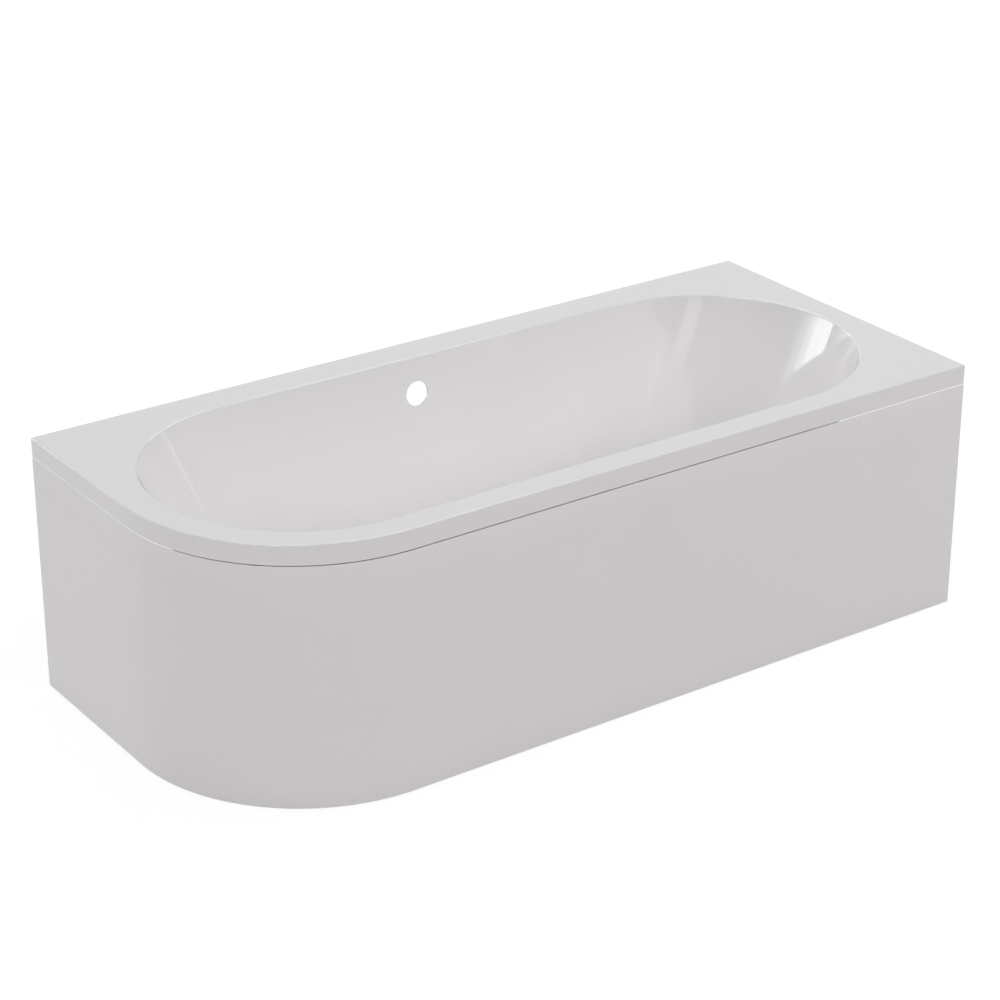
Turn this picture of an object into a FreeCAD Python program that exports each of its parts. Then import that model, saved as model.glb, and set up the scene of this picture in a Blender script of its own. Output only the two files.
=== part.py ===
"""Asymmetric bathtub with one rounded front corner, a one-piece side panel and adjustable feet.

Frame: +X along the bath to the right, +Y to the wall behind it, +Z up.
The origin lies on the floor under the middle of the outline. Sizes are in millimetres and degrees.
"""
import FreeCAD, Part
import math
import os
import re

import Sketcher
from FreeCAD import Placement, Rotation, Vector

os.makedirs("parts", exist_ok=True)

SIZES = {
    # outline and heights
    "overall_length": 1700,
    "overall_width": 750,
    "corner_radius": 370,
    "panel_floor_gap": 2,
    "panel_height": 490.5,
    "seam_gap": 1.5,
    "lip_height": 40,
    # acrylic shell
    "shell_wall": 5,
    "deck_edge_radius": 3,
    "basin_edge_radius": 4,
    "deck_left": 60,
    "deck_right": 60,
    "deck_front": 58,
    "deck_back": 78,
    "deck_corner": 55,
    "basin_floor_height": 114,
    "side_draft": 7,
    "end_draft": 24,
    "floor_radius": 80,
    "overflow_diameter": 52,
    "overflow_x": -32,
    "overflow_depth": 77,
    "waste_diameter": 52,
    "waste_x": -32,
    "fitting_cut": 50,
    # glass-fibre layer and board under the basin
    "backing_gap": 0.45,
    "backing_wall": 3,
    "fitting_clearance": 6,
    "board_thickness": 18,
    "board_margin": 8,
    "board_cutout_clearance": 34,
    # timber under the deck
    "batten_thickness": 18,
    "batten_width": 30,
    "batten_gap": 2,
    "block_length": 100,
    # steel channels under the board
    "cradle_from_end": 430,
    "cradle_margin": 85,
    "cradle_width": 40,
    "cradle_height": 30,
    "cradle_wall": 2,
    "cradle_screw_inner": 55,
    "cradle_screw_margin": 46,
    # feet
    "foot_from_end": 65,
    "rod_diameter": 12,
    "rod_above_cradle": 8,
    "rod_fit": 0.1,
    "nut_fit": 0.25,
    "nut_flats": 19,
    "captive_nut_height": 10,
    "lock_nut_height": 6,
    "collar_height": 8,
    "collar_gap": 1,
    "pad_diameter": 60,
    "pad_height": 16,
    "pad_edge_height": 4,
    "pad_slope_height": 3,
    "pad_floor": 5,
    "boss_diameter": 27,
    "boss_flare": 2,
    # side panel
    "bond_gap": 0.3,
    "panel_setback": 0.5,
    "panel_wall": 3,
    "panel_return": 18,
    "panel_edge_radius": 1,
    "panel_top_land": 0.5,
    "panel_backing_wall": 1.5,
    "panel_backing_drop": 12,
    "rail_wall": 12,
    "rail_height": 25,
    "rail_drop": 26,
    # clips, brackets and their screws
    "clip_gap": 0.3,
    "clip_web_gap": 1,
    "clip_wall": 1.5,
    "clip_width": 24,
    "clip_tab": 15,
    "clip_ledge_gap": 1.5,
    "bracket_wall": 2,
    "bracket_width": 40,
    "bracket_from_end": 350,
    "bracket_leg": 64,
    "bracket_hole": 6.5,
    "bracket_hole_spacing": 30,
    "bracket_hole_margin": 15,
    "foot_bracket_tab": 34,
    "foot_bracket_width": 30,
    "screw_diameter": 4,
    "screw_head_diameter": 8,
    "screw_head_height": 2.5,
    "screw_bite": 13,
    "screw_pilot_gap": 0.1,
    "pilot_spare": 1,
    "screw_clearance": 0.5,
    "bolt_diameter": 6,
    "bolt_flats": 10,
    "bolt_head_height": 4,
    "bolt_nut_height": 5,
    "bolt_tail": 2,
}

doc = FreeCAD.newDocument("AsymmetricBathtub")
sheet = doc.addObject("Spreadsheet::Sheet", "Sizes")
for row, (alias, plain_number) in enumerate(SIZES.items(), start=1):
    sheet.set(f"A{row}", alias)
    sheet.set(f"B{row}", str(plain_number))
    sheet.setAlias(f"B{row}", alias)
doc.recompute()

# Half the turn of the large corner, in degrees, and the tenths of the straight front that carry clips.
HALF_CORNER = 45
CLIP_TENTHS = (1, 4, 7)
# Walls that a drilled hole is cut through, half of them on each side of its sketch.
DRILLED_WALLS = 4
# How near a point lies to a place that it shares, in millimetres.
NEAR = 1e-3

ALIAS = re.compile(r"\b(" + "|".join(sorted(SIZES, key=len, reverse=True)) + r")\b")

# Heights and places that several pieces share, written as formulas of the sheet's sizes.
PANEL_TOP = "(panel_floor_gap + panel_height)"
LIP_BOTTOM = f"({PANEL_TOP} + seam_gap)"
DECK_TOP = f"({LIP_BOTTOM} + lip_height)"
DECK_UNDER = f"({DECK_TOP} - shell_wall)"
BASIN_FLOOR = "basin_floor_height"
BASIN_DEPTH = f"({DECK_TOP} - basin_floor_height)"
BACKING_OFFSET = "(shell_wall + backing_gap + backing_wall)"
BOARD_TOP = f"({BASIN_FLOOR} - {BACKING_OFFSET})"
CRADLE_TOP = f"({BOARD_TOP} - board_thickness)"
WEB_UNDER = f"({CRADLE_TOP} - cradle_wall)"
BATTEN_UNDER = f"({DECK_UNDER} - batten_thickness)"
BATTEN_START = "(shell_wall + batten_gap)"
X_LEFT = "(-overall_length / 2)"
X_RIGHT = "(overall_length / 2)"
Y_FRONT = "(-overall_width / 2)"
Y_BACK = "(overall_width / 2)"
CORNER_INSET = f"(corner_radius * (1 - cos({HALF_CORNER})))"
BASIN_Y = "((deck_front - deck_back) / 2)"
BASIN_HALF_WIDTH = "((overall_width - deck_front - deck_back) / 2)"
# The basin's left end keeps deck_left from the outline's end and deck_corner from its large corner.
CORNER_REACH = f"({BASIN_HALF_WIDTH} + deck_corner)"
CORNER_RISE = f"({BASIN_Y} - {Y_FRONT} - {CORNER_INSET})"
CORNER_RUN = f"sqrt({CORNER_REACH} * {CORNER_REACH} - {CORNER_RISE} * {CORNER_RISE})"
BASIN_INSET = f"max(deck_left; {CORNER_INSET} + {CORNER_RUN} - {BASIN_HALF_WIDTH})"
BASIN_X = f"(({BASIN_INSET} - deck_right) / 2)"
BASIN_HALF_LENGTH = f"((overall_length - {BASIN_INSET} - deck_right) / 2)"
SIDE_FOOT = f"({BASIN_DEPTH} * tan(side_draft) + floor_radius * tan(45 - side_draft / 2))"
END_FOOT = f"({BASIN_DEPTH} * tan(end_draft) + floor_radius * tan(45 - end_draft / 2))"
FLAT_HALF_WIDTH = f"({BASIN_HALF_WIDTH} - {SIDE_FOOT})"
FLAT_HALF_LENGTH = f"({BASIN_HALF_LENGTH} - {END_FOOT})"
BOARD_HALF_WIDTH = f"({FLAT_HALF_WIDTH} - board_margin)"
CRADLE_LENGTH = "(overall_width - 2 * cradle_margin)"
FOOT_OFFSET = f"({CRADLE_LENGTH} / 2 - foot_from_end)"
CRADLE_SCREW_OUTER = f"({BOARD_HALF_WIDTH} - cradle_screw_margin)"
PANEL_INNER = "(panel_setback + panel_return)"
PANEL_BACK = "(panel_setback + panel_wall + bond_gap)"
RAIL_START = f"({PANEL_BACK} + panel_backing_wall + bond_gap)"
RAIL_UNDER = f"({PANEL_TOP} - rail_drop - rail_height)"


def bound(text):
    """Formula text with each size name pointing at its cell of the sheet."""
    return ALIAS.sub(r"Sizes.\1", text)


def number(text):
    """Present value of a formula, as a plain number."""
    result = sheet.evalExpression(bound(text))
    return float(getattr(result, "Value", result))


def bind(thing, **formulas):
    """Bind properties of a document object to formulas; a double underscore stands for a dot."""
    for name, text in formulas.items():
        thing.setExpression(name.replace("__", "."), bound(text))


def place(thing, x="0", y="0", z="0"):
    """Bind the place of a document object."""
    bind(thing, Placement__Base__x=x, Placement__Base__y=y, Placement__Base__z=z)


def new_body(label):
    """Empty body with a label."""
    body = doc.addObject("PartDesign::Body", label)
    body.Label = label
    return body


def new_sketch(body, name, role="XY_Plane", offset="0", tilt=None, shift="0"):
    """Sketch on an origin plane of its body, moved along the plane's normal.

    A tilt turns the sketch about its own X axis, and the shift moves it along its plane's Y axis.
    """
    sketch = body.newObject("Sketcher::SketchObject", name)
    plane = next(feature for feature in body.Origin.OriginFeatures if feature.Role == role)
    sketch.AttachmentSupport = [(plane, "")]
    sketch.MapMode = "FlatFace"
    if tilt is not None:
        sketch.AttachmentOffset = Placement(Vector(), Rotation(Vector(1, 0, 0), number(tilt)))
        bind(sketch, AttachmentOffset__Rotation__Angle=tilt)
    bind(sketch, AttachmentOffset__Base__y=shift, AttachmentOffset__Base__z=offset)
    return sketch


def constrain(sketch, kind, elements, text):
    """Dimension in a sketch, bound to a formula."""
    index = sketch.addConstraint(Sketcher.Constraint(kind, *elements, number(text)))
    sketch.setExpression(f"Constraints[{index}]", bound(text))


def fix_point(sketch, geometry, position, x, y):
    """Place a point of a sketch by two dimensions from the origin."""
    constrain(sketch, "DistanceX", (-1, 1, geometry, position), x)
    constrain(sketch, "DistanceY", (-1, 1, geometry, position), y)


def draw_circle(sketch, x, y, diameter):
    """Circle with its centre and diameter bound."""
    centre = Vector(number(x), number(y), 0)
    index = sketch.addGeometry(Part.Circle(centre, Vector(0, 0, 1), number(diameter) / 2))
    fix_point(sketch, index, 3, x, y)
    constrain(sketch, "Diameter", (index,), diameter)


def draw_polygon(sketch, corners):
    """Closed line of straight edges; each corner is a pair of formulas."""
    points = [Vector(number(x), number(y), 0) for x, y in corners]
    lines = []
    for here, there in zip(points, points[1:] + points[:1]):
        lines.append(sketch.addGeometry(Part.LineSegment(here, there)))
    for line, following in zip(lines, lines[1:] + lines[:1]):
        sketch.addConstraint(Sketcher.Constraint("Coincident", line, 2, following, 1))
    for line, (x, y) in zip(lines, corners):
        fix_point(sketch, line, 1, x, y)


def draw_stadium(sketch, left, right, middle, radius):
    """Two straight sides and two half circles, given by the circles' centres and radius."""
    x1, x2, y, r = number(left), number(right), number(middle), number(radius)
    up = Vector(0, 0, 1)
    quarter = math.pi / 2
    front = sketch.addGeometry(Part.LineSegment(Vector(x1, y - r, 0), Vector(x2, y - r, 0)))
    end_right = sketch.addGeometry(Part.ArcOfCircle(Part.Circle(Vector(x2, y, 0), up, r), -quarter, quarter))
    back = sketch.addGeometry(Part.LineSegment(Vector(x2, y + r, 0), Vector(x1, y + r, 0)))
    end_left = sketch.addGeometry(Part.ArcOfCircle(Part.Circle(Vector(x1, y, 0), up, r), quarter, 3 * quarter))
    ring = [front, end_right, back, end_left]
    for here, there in zip(ring, ring[1:] + ring[:1]):
        sketch.addConstraint(Sketcher.Constraint("Tangent", here, 2, there, 1))
    sketch.addConstraint(Sketcher.Constraint("Horizontal", front))
    constrain(sketch, "Radius", (end_right,), radius)
    fix_point(sketch, end_left, 3, left, middle)
    fix_point(sketch, end_right, 3, right, middle)


def draw_outline(sketch, inset):
    """Plan of the bath, drawn in by an inset: a rectangle whose front left corner is one large arc."""
    left, right = f"{X_LEFT} + {inset}", f"{X_RIGHT} - {inset}"
    front, back = f"{Y_FRONT} + {inset}", f"{Y_BACK} - {inset}"
    radius = f"corner_radius - {inset}"
    x1, x2, y1, y2, r = number(left), number(right), number(front), number(back), number(radius)
    circle = Part.Circle(Vector(x1 + r, y1 + r, 0), Vector(0, 0, 1), r)
    top = sketch.addGeometry(Part.LineSegment(Vector(x2, y2, 0), Vector(x1, y2, 0)))
    west = sketch.addGeometry(Part.LineSegment(Vector(x1, y2, 0), Vector(x1, y1 + r, 0)))
    arc = sketch.addGeometry(Part.ArcOfCircle(circle, math.pi, 1.5 * math.pi))
    south = sketch.addGeometry(Part.LineSegment(Vector(x1 + r, y1, 0), Vector(x2, y1, 0)))
    east = sketch.addGeometry(Part.LineSegment(Vector(x2, y1, 0), Vector(x2, y2, 0)))
    for kind, here, there in (
        ("Coincident", top, west),
        ("Tangent", west, arc),
        ("Tangent", arc, south),
        ("Coincident", south, east),
        ("Coincident", east, top),
    ):
        sketch.addConstraint(Sketcher.Constraint(kind, here, 2, there, 1))
    for kind, line in (("Horizontal", top), ("Vertical", west), ("Horizontal", south), ("Vertical", east)):
        sketch.addConstraint(Sketcher.Constraint(kind, line))
    constrain(sketch, "Radius", (arc,), radius)
    fix_point(sketch, west, 1, left, back)
    fix_point(sketch, east, 1, right, front)


def draw_panel_strip(sketch, outer, inner):
    """Strip between two insets from the plan's left end, large corner and front."""
    end_back = f"{Y_BACK} - panel_setback"
    end_right = f"{X_RIGHT} - panel_setback"
    y_end, x_end = number(end_back), number(end_right)
    rows = []
    for inset in (outer, inner):
        left, front, radius = f"{X_LEFT} + {inset}", f"{Y_FRONT} + {inset}", f"corner_radius - {inset}"
        x, y, r = number(left), number(front), number(radius)
        circle = Part.Circle(Vector(x + r, y + r, 0), Vector(0, 0, 1), r)
        west = sketch.addGeometry(Part.LineSegment(Vector(x, y_end, 0), Vector(x, y + r, 0)))
        arc = sketch.addGeometry(Part.ArcOfCircle(circle, math.pi, 1.5 * math.pi))
        south = sketch.addGeometry(Part.LineSegment(Vector(x + r, y, 0), Vector(x_end, y, 0)))
        sketch.addConstraint(Sketcher.Constraint("Tangent", west, 2, arc, 1))
        sketch.addConstraint(Sketcher.Constraint("Tangent", arc, 2, south, 1))
        sketch.addConstraint(Sketcher.Constraint("Vertical", west))
        sketch.addConstraint(Sketcher.Constraint("Horizontal", south))
        constrain(sketch, "Radius", (arc,), radius)
        fix_point(sketch, west, 1, left, end_back)
        fix_point(sketch, south, 2, end_right, front)
        rows.append((west, south, x, y))
    (west_1, south_1, left_1, front_1), (west_2, south_2, left_2, front_2) = rows
    cap_right = sketch.addGeometry(Part.LineSegment(Vector(x_end, front_1, 0), Vector(x_end, front_2, 0)))
    cap_back = sketch.addGeometry(Part.LineSegment(Vector(left_2, y_end, 0), Vector(left_1, y_end, 0)))
    sketch.addConstraint(Sketcher.Constraint("Coincident", south_1, 2, cap_right, 1))
    sketch.addConstraint(Sketcher.Constraint("Coincident", cap_right, 2, south_2, 2))
    sketch.addConstraint(Sketcher.Constraint("Coincident", west_2, 1, cap_back, 1))
    sketch.addConstraint(Sketcher.Constraint("Coincident", cap_back, 2, west_1, 1))


def extrude(body, kind, name, sketch, length, symmetric=False, reverse=False):
    """Pad or pocket of a sketch, with its length bound."""
    feature = body.newObject(f"PartDesign::{kind}", name)
    feature.Profile = sketch
    feature.SideType = "Symmetric" if symmetric else "One side"
    feature.Reversed = reverse
    bind(feature, Length=length)
    doc.recompute()
    return feature


def edges_at(feature, low, high):
    """Names of the edges of a feature that lie between two heights."""
    names = []
    for index, edge in enumerate(feature.Shape.Edges, start=1):
        box = edge.BoundBox
        if box.ZMin > low - NEAR and box.ZMax < high + NEAR:
            names.append(f"Edge{index}")
    return names


def fillet(body, name, base, edges, radius):
    """Rounded edges with a bound radius."""
    feature = body.newObject("PartDesign::Fillet", name)
    feature.Base = (base, edges)
    bind(feature, Radius=radius)
    doc.recompute()
    return feature


def basin_loft(body, name, top, bottom, offset):
    """Basin form at a wall offset, between two heights, with its floor edge rounded.

    The basin is an oval at the deck. Its walls run straight down to the floor plane, the long sides
    at side_draft and the ends at end_draft from the vertical. An offset moves each wall outward along
    its own normal.
    """
    sections = []
    for level, height in (("top", top), ("bottom", bottom)):
        fall = f"({DECK_TOP} - ({height}))"
        half_width = f"({BASIN_HALF_WIDTH} - {fall} * tan(side_draft) + {offset} / cos(side_draft))"
        half_length = f"({BASIN_HALF_LENGTH} - {fall} * tan(end_draft) + {offset} / cos(end_draft))"
        reach = f"({half_length} - {half_width})"
        sketch = new_sketch(body, f"{name}_{level}", offset=height)
        draw_stadium(sketch, f"{BASIN_X} - {reach}", f"{BASIN_X} + {reach}", BASIN_Y, half_width)
        sections.append(sketch)
    loft = body.newObject("PartDesign::AdditiveLoft", name)
    loft.Profile = sections[0]
    loft.Sections = [sections[1]]
    loft.Ruled = True
    doc.recompute()
    floor = number(bottom)
    return fillet(body, f"{name}_floor", loft, edges_at(loft, floor, floor), f"floor_radius + {offset}")


def basin_plug(label, top, bottom, offset):
    """Solid basin form in a body of its own, to be cut out of another body."""
    body = new_body(label)
    basin_loft(body, f"{label}_form", top, bottom, offset)
    return body


def cut_body(body, name, tool):
    """Cut one body out of another."""
    boolean = body.newObject("PartDesign::Boolean", name)
    boolean.Type = "Cut"
    boolean.addObjects([tool])
    doc.recompute()
    return boolean


def cut_fitting_holes(body, prefix, clearance):
    """Overflow hole square to the back wall and waste hole in the floor, with a radial clearance."""
    wall_y = f"({BASIN_Y} + {BASIN_HALF_WIDTH} - overflow_depth * tan(side_draft))"
    # the plane's normal points to the front, so the way to the back wall is negative
    sketch = new_sketch(body, f"{prefix}_overflow", "XZ_Plane", f"-{wall_y}", "-side_draft",
                        f"{DECK_TOP} - overflow_depth")
    draw_circle(sketch, "overflow_x", "0", f"overflow_diameter + 2 * {clearance}")
    extrude(body, "Pocket", f"{prefix}_overflow_hole", sketch, "fitting_cut", symmetric=True)
    sketch = new_sketch(body, f"{prefix}_waste", offset=BASIN_FLOOR)
    draw_circle(sketch, "waste_x", BASIN_Y, f"waste_diameter + 2 * {clearance}")
    return extrude(body, "Pocket", f"{prefix}_waste_hole", sketch, "fitting_cut", symmetric=True)


def make_shell():
    """Acrylic forming: deck, rim lip and basin of one thickness, with two fitting holes."""
    body = new_body("bath_shell")
    sketch = new_sketch(body, "shell_outline", offset=LIP_BOTTOM)
    draw_outline(sketch, "0")
    block = extrude(body, "Pad", "shell_block", sketch, "lip_height")
    top = number(DECK_TOP)
    fillet(body, "deck_edge", block, edges_at(block, top, top), "deck_edge_radius")
    sketch = new_sketch(body, "shell_underside", offset=LIP_BOTTOM)
    draw_outline(sketch, "shell_wall")
    extrude(body, "Pocket", "shell_hollow", sketch, "lip_height - shell_wall", reverse=True)
    underside = f"({BASIN_FLOOR} - shell_wall)"
    basin_loft(body, "basin_outside", f"({DECK_TOP} - shell_wall / 2)", underside, "shell_wall")
    plug = basin_plug("basin_plug", f"({DECK_TOP} + shell_wall)", BASIN_FLOOR, "0")
    cut_body(body, "basin_inside", plug)
    holed = cut_fitting_holes(body, "shell", "0")
    rim = [name for name in edges_at(holed, top, top) if is_basin_edge(holed.Shape.getElement(name))]
    fillet(body, "basin_edge", holed, rim, "basin_edge_radius")
    return body


def is_basin_edge(edge):
    """True for an edge of the basin's oval at the deck, and not of the outline."""
    middle = edge.valueAt((edge.FirstParameter + edge.LastParameter) / 2)
    reach = number(BASIN_HALF_LENGTH) - number(BASIN_HALF_WIDTH)
    along = max(abs(middle.x - number(BASIN_X)) - reach, 0)
    return abs(math.hypot(along, middle.y - number(BASIN_Y)) - number(BASIN_HALF_WIDTH)) < NEAR


def make_backing():
    """Glass-fibre layer on the outside of the basin."""
    body = new_body("fibreglass_backing")
    top = f"({DECK_UNDER} - backing_gap)"
    basin_loft(body, "backing_outside", top, BOARD_TOP, BACKING_OFFSET)
    plug = basin_plug("backing_plug", f"({DECK_TOP} + shell_wall)", f"({BOARD_TOP} + backing_wall)",
                      "(shell_wall + backing_gap)")
    cut_body(body, "backing_inside", plug)
    cut_fitting_holes(body, "backing", "fitting_clearance")
    return body


def cradle_places():
    """Names and X places of the two channels under the board."""
    return (("left", f"({X_LEFT} + cradle_from_end)"), ("right", f"({X_RIGHT} - cradle_from_end)"))


def cradle_screw_steps():
    """Distances of the four screws of a channel from its middle."""
    return (f"-{CRADLE_SCREW_OUTER}", "-cradle_screw_inner", "cradle_screw_inner", CRADLE_SCREW_OUTER)


def cradle_screw_places():
    """Y places of the four screws of a channel."""
    places = []
    for distance in cradle_screw_steps():
        places.append(f"({BASIN_Y} + {distance})")
    return places


def make_board():
    """Board under the flat of the basin, with a cut-out round the waste hole and pilot holes."""
    body = new_body("base_board")
    reach = f"({FLAT_HALF_LENGTH} - {FLAT_HALF_WIDTH})"
    sketch = new_sketch(body, "board_outline", offset=CRADLE_TOP)
    draw_stadium(sketch, f"{BASIN_X} - {reach}", f"{BASIN_X} + {reach}", BASIN_Y, BOARD_HALF_WIDTH)
    extrude(body, "Pad", "board_plate", sketch, "board_thickness")
    sketch = new_sketch(body, "board_cutout", offset=CRADLE_TOP)
    draw_circle(sketch, "waste_x", BASIN_Y, "waste_diameter + 2 * board_cutout_clearance")
    extrude(body, "Pocket", "board_opening", sketch, "board_thickness", reverse=True)
    sketch = new_sketch(body, "board_pilots", offset=CRADLE_TOP)
    for _, x in cradle_places():
        for y in cradle_screw_places():
            draw_circle(sketch, x, y, "screw_diameter + 2 * screw_pilot_gap")
    extrude(body, "Pocket", "board_pilot_holes", sketch, "screw_bite + pilot_spare", reverse=True)
    return body


def make_cylinder(name, x, y, z, diameter, height):
    """Upright cylinder on a place."""
    cylinder = doc.addObject("Part::Cylinder", name)
    bind(cylinder, Radius=f"({diameter}) / 2", Height=height)
    place(cylinder, x, y, z)
    return cylinder


def make_hexagon(name, x, y, z, flats, height):
    """Upright hexagonal prism, by its width across flats."""
    prism = doc.addObject("Part::Prism", name)
    prism.Polygon = 6
    bind(prism, Circumradius=f"({flats}) / sqrt(3)", Height=height)
    place(prism, x, y, z)
    return prism


def fuse(name, pieces):
    """One solid from overlapping or touching pieces."""
    joined = doc.addObject("Part::MultiFuse", name)
    joined.Label = name
    joined.Shapes = pieces
    return joined


def group(label, pieces):
    """One node of several separate solids."""
    compound = doc.addObject("Part::Compound", label)
    compound.Label = label
    compound.Links = pieces
    return compound


def subtract(name, base, tool):
    """Base without the tool."""
    cut = doc.addObject("Part::Cut", name)
    cut.Label = name
    cut.Base = base
    cut.Tool = tool
    return cut


def make_screw(name, x, y, seat, grip):
    """Pan-head screw driven upward; seat is the height of the face under its head."""
    head = make_cylinder(f"{name}_head", x, y, f"{seat} - screw_head_height", "screw_head_diameter",
                         "screw_head_height")
    shank = make_cylinder(f"{name}_shank", x, y, seat, "screw_diameter", f"{grip} + screw_bite")
    return fuse(name, [head, shank])


def front_clip_places():
    """X places of the clips along the straight front, at one, four and seven tenths of it."""
    start, run = f"({X_LEFT} + corner_radius)", "(overall_length - corner_radius)"
    return [f"({start} + {run} * {share} / 10)" for share in CLIP_TENTHS]


def corner_place(inset):
    """Plan place at the middle of the large corner, at an inset from the outline."""
    arm = f"((corner_radius - {inset}) * cos({HALF_CORNER}))"
    return f"({X_LEFT} + corner_radius - {arm})", f"({Y_FRONT} + corner_radius - {arm})"


def back_bracket_places():
    """X places of the two wall brackets on the back."""
    return [f"({X_LEFT} + bracket_from_end)", f"({X_RIGHT} - bracket_from_end)"]


CLIP_WEB = f"({RAIL_START} + rail_wall + clip_web_gap)"
CLIP_SCREW = f"({CLIP_WEB} + clip_wall + clip_tab / 2)"
BRACKET_SCREW = f"({BATTEN_START} + bracket_wall + clip_tab / 2 + screw_head_diameter / 2)"
BRACKET_SCREW_STEP = "(bracket_width / 4)"


def clip_screw_places():
    """Plan places of the screws of the panel clips, the corner's last."""
    places = [(x, f"({Y_FRONT} + {CLIP_SCREW})") for x in front_clip_places()]
    return places + [corner_place(CLIP_SCREW)]


def bracket_screw_places():
    """Plan places of the screws of the wall brackets."""
    places = []
    for side in ("-", "+"):
        for x in back_bracket_places():
            places.append((f"({x} {side} {BRACKET_SCREW_STEP})", f"({Y_BACK} - {BRACKET_SCREW})"))
        places.append((f"({X_RIGHT} - {BRACKET_SCREW})", f"({BASIN_Y} {side} {BRACKET_SCREW_STEP})"))
    return places


def make_batten(label, x, y, length, width, pilots=(), turn=0):
    """Timber strip under the deck, turned about its first corner, with pilot holes from below."""
    strip = doc.addObject("Part::Box", f"{label}_strip")
    strip.Placement = Placement(Vector(), Rotation(Vector(0, 0, 1), turn))
    bind(strip, Length=length, Width=width, Height="batten_thickness")
    place(strip, x, y, BATTEN_UNDER)
    if not pilots:
        strip.Label = label
        return strip
    holes = []
    for index, (hole_x, hole_y) in enumerate(pilots, start=1):
        holes.append(make_cylinder(f"{label}_pilot_{index}", hole_x, hole_y, BATTEN_UNDER,
                                   "screw_diameter + 2 * screw_pilot_gap", "screw_bite + pilot_spare"))
    return subtract(label, strip, group(f"{label}_pilots", holes))


def make_corner_block(screw):
    """Timber block across the large corner, far enough in for its ends to clear the curved lip."""
    inner_radius = f"(corner_radius - {BATTEN_START})"
    inset = f"(corner_radius - sqrt({inner_radius} * {inner_radius} - block_length * block_length / 4))"
    x, y = corner_place(f"({inset})")
    half = f"(block_length / 2 * cos({HALF_CORNER}))"
    return make_batten("rim_block_corner", f"({x} - {half})", f"({y} + {half})", "block_length", "batten_width",
                       [screw], turn=-HALF_CORNER)


def make_battens():
    """Four strips along the straight runs of the rim, and a block at the large corner."""
    clips = clip_screw_places()
    brackets = bracket_screw_places()
    front_x = f"({X_LEFT} + corner_radius)"
    inner_y = f"({Y_FRONT} + {BATTEN_START})"
    back_y = f"({Y_BACK} - {BATTEN_START} - batten_width)"
    left_y = f"({Y_FRONT} + corner_radius)"
    right_y = f"({inner_y} + batten_width + batten_gap)"
    return [
        make_batten("rim_batten_front", front_x, inner_y, f"{X_RIGHT} - {BATTEN_START} - {front_x}",
                    "batten_width", clips[:3]),
        make_batten("rim_batten_left", f"({X_LEFT} + {BATTEN_START})", left_y, "batten_width",
                    f"{back_y} - batten_gap - {left_y}"),
        make_batten("rim_batten_back", f"({X_LEFT} + {BATTEN_START})", back_y,
                    f"overall_length - 2 * {BATTEN_START}", "batten_width", brackets[0:2] + brackets[3:5]),
        make_batten("rim_batten_right", f"({X_RIGHT} - {BATTEN_START} - batten_width)", right_y, "batten_width",
                    f"{back_y} - batten_gap - {right_y}", [brackets[2], brackets[5]]),
        make_corner_block(clips[3]),
    ]


def make_cradle(label, x):
    """Folded channel, open downward, with holes for two rods, four screws and a bracket bolt."""
    body = new_body(label)
    half, inner = "cradle_width / 2", "(cradle_width / 2 - cradle_wall)"
    low, web = f"({CRADLE_TOP} - cradle_height)", WEB_UNDER
    sketch = new_sketch(body, f"{label}_section", "XZ_Plane")
    draw_polygon(sketch, [
        (f"-{half}", low), (f"-{inner}", low), (f"-{inner}", web), (inner, web),
        (inner, low), (half, low), (half, CRADLE_TOP), (f"-{half}", CRADLE_TOP),
    ])
    extrude(body, "Pad", f"{label}_channel", sketch, CRADLE_LENGTH, symmetric=True)
    sketch = new_sketch(body, f"{label}_holes", offset=WEB_UNDER)
    for side in ("-", "+"):
        draw_circle(sketch, "0", f"0 {side} {FOOT_OFFSET}", "rod_diameter + 2 * nut_fit")
    for distance in cradle_screw_steps():
        draw_circle(sketch, "0", distance, "screw_diameter + screw_clearance")
    draw_circle(sketch, "0", f"-{CRADLE_LENGTH} / 2 + foot_bracket_tab / 2", "bolt_diameter + screw_clearance")
    extrude(body, "Pocket", f"{label}_drilled", sketch, f"{DRILLED_WALLS} * cradle_wall", symmetric=True)
    place(body, x, BASIN_Y)
    return body


def foot_places():
    """Plan places of the four feet, in order from the front left."""
    return [(x, f"({BASIN_Y} {side} {FOOT_OFFSET})") for _, x in cradle_places() for side in ("-", "+")]


def make_foot_pad(index, x, y):
    """Round plastic pad with a blind socket for the end of its rod."""
    body = new_body(f"foot_pad_{index}")
    socket = "(rod_diameter / 2 + rod_fit)"
    sketch = new_sketch(body, f"pad_profile_{index}", "XZ_Plane")
    draw_polygon(sketch, [
        ("0", "0"), ("pad_diameter / 2", "0"), ("pad_diameter / 2", "pad_edge_height"),
        ("boss_diameter / 2 + boss_flare", "pad_edge_height + pad_slope_height"),
        ("boss_diameter / 2", "pad_height"), (socket, "pad_height"), (socket, "pad_floor"), ("0", "pad_floor"),
    ])
    turned = body.newObject("PartDesign::Revolution", f"pad_turned_{index}")
    turned.Profile = sketch
    turned.ReferenceAxis = (sketch, ["V_Axis"])
    turned.Angle = 360
    doc.recompute()
    place(body, x, y)
    return body


def make_foot_rod(index, x, y):
    """Adjusting rod with a hexagonal collar for a spanner."""
    bottom = "(pad_floor + rod_fit)"
    length = f"{CRADLE_TOP} + rod_above_cradle - {bottom}"
    rod = make_cylinder(f"rod_{index}", x, y, bottom, "rod_diameter", length)
    collar = make_hexagon(f"rod_collar_{index}", x, y, "pad_height + collar_gap", "nut_flats", "collar_height")
    return fuse(f"foot_rod_{index}", [rod, collar])


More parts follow.
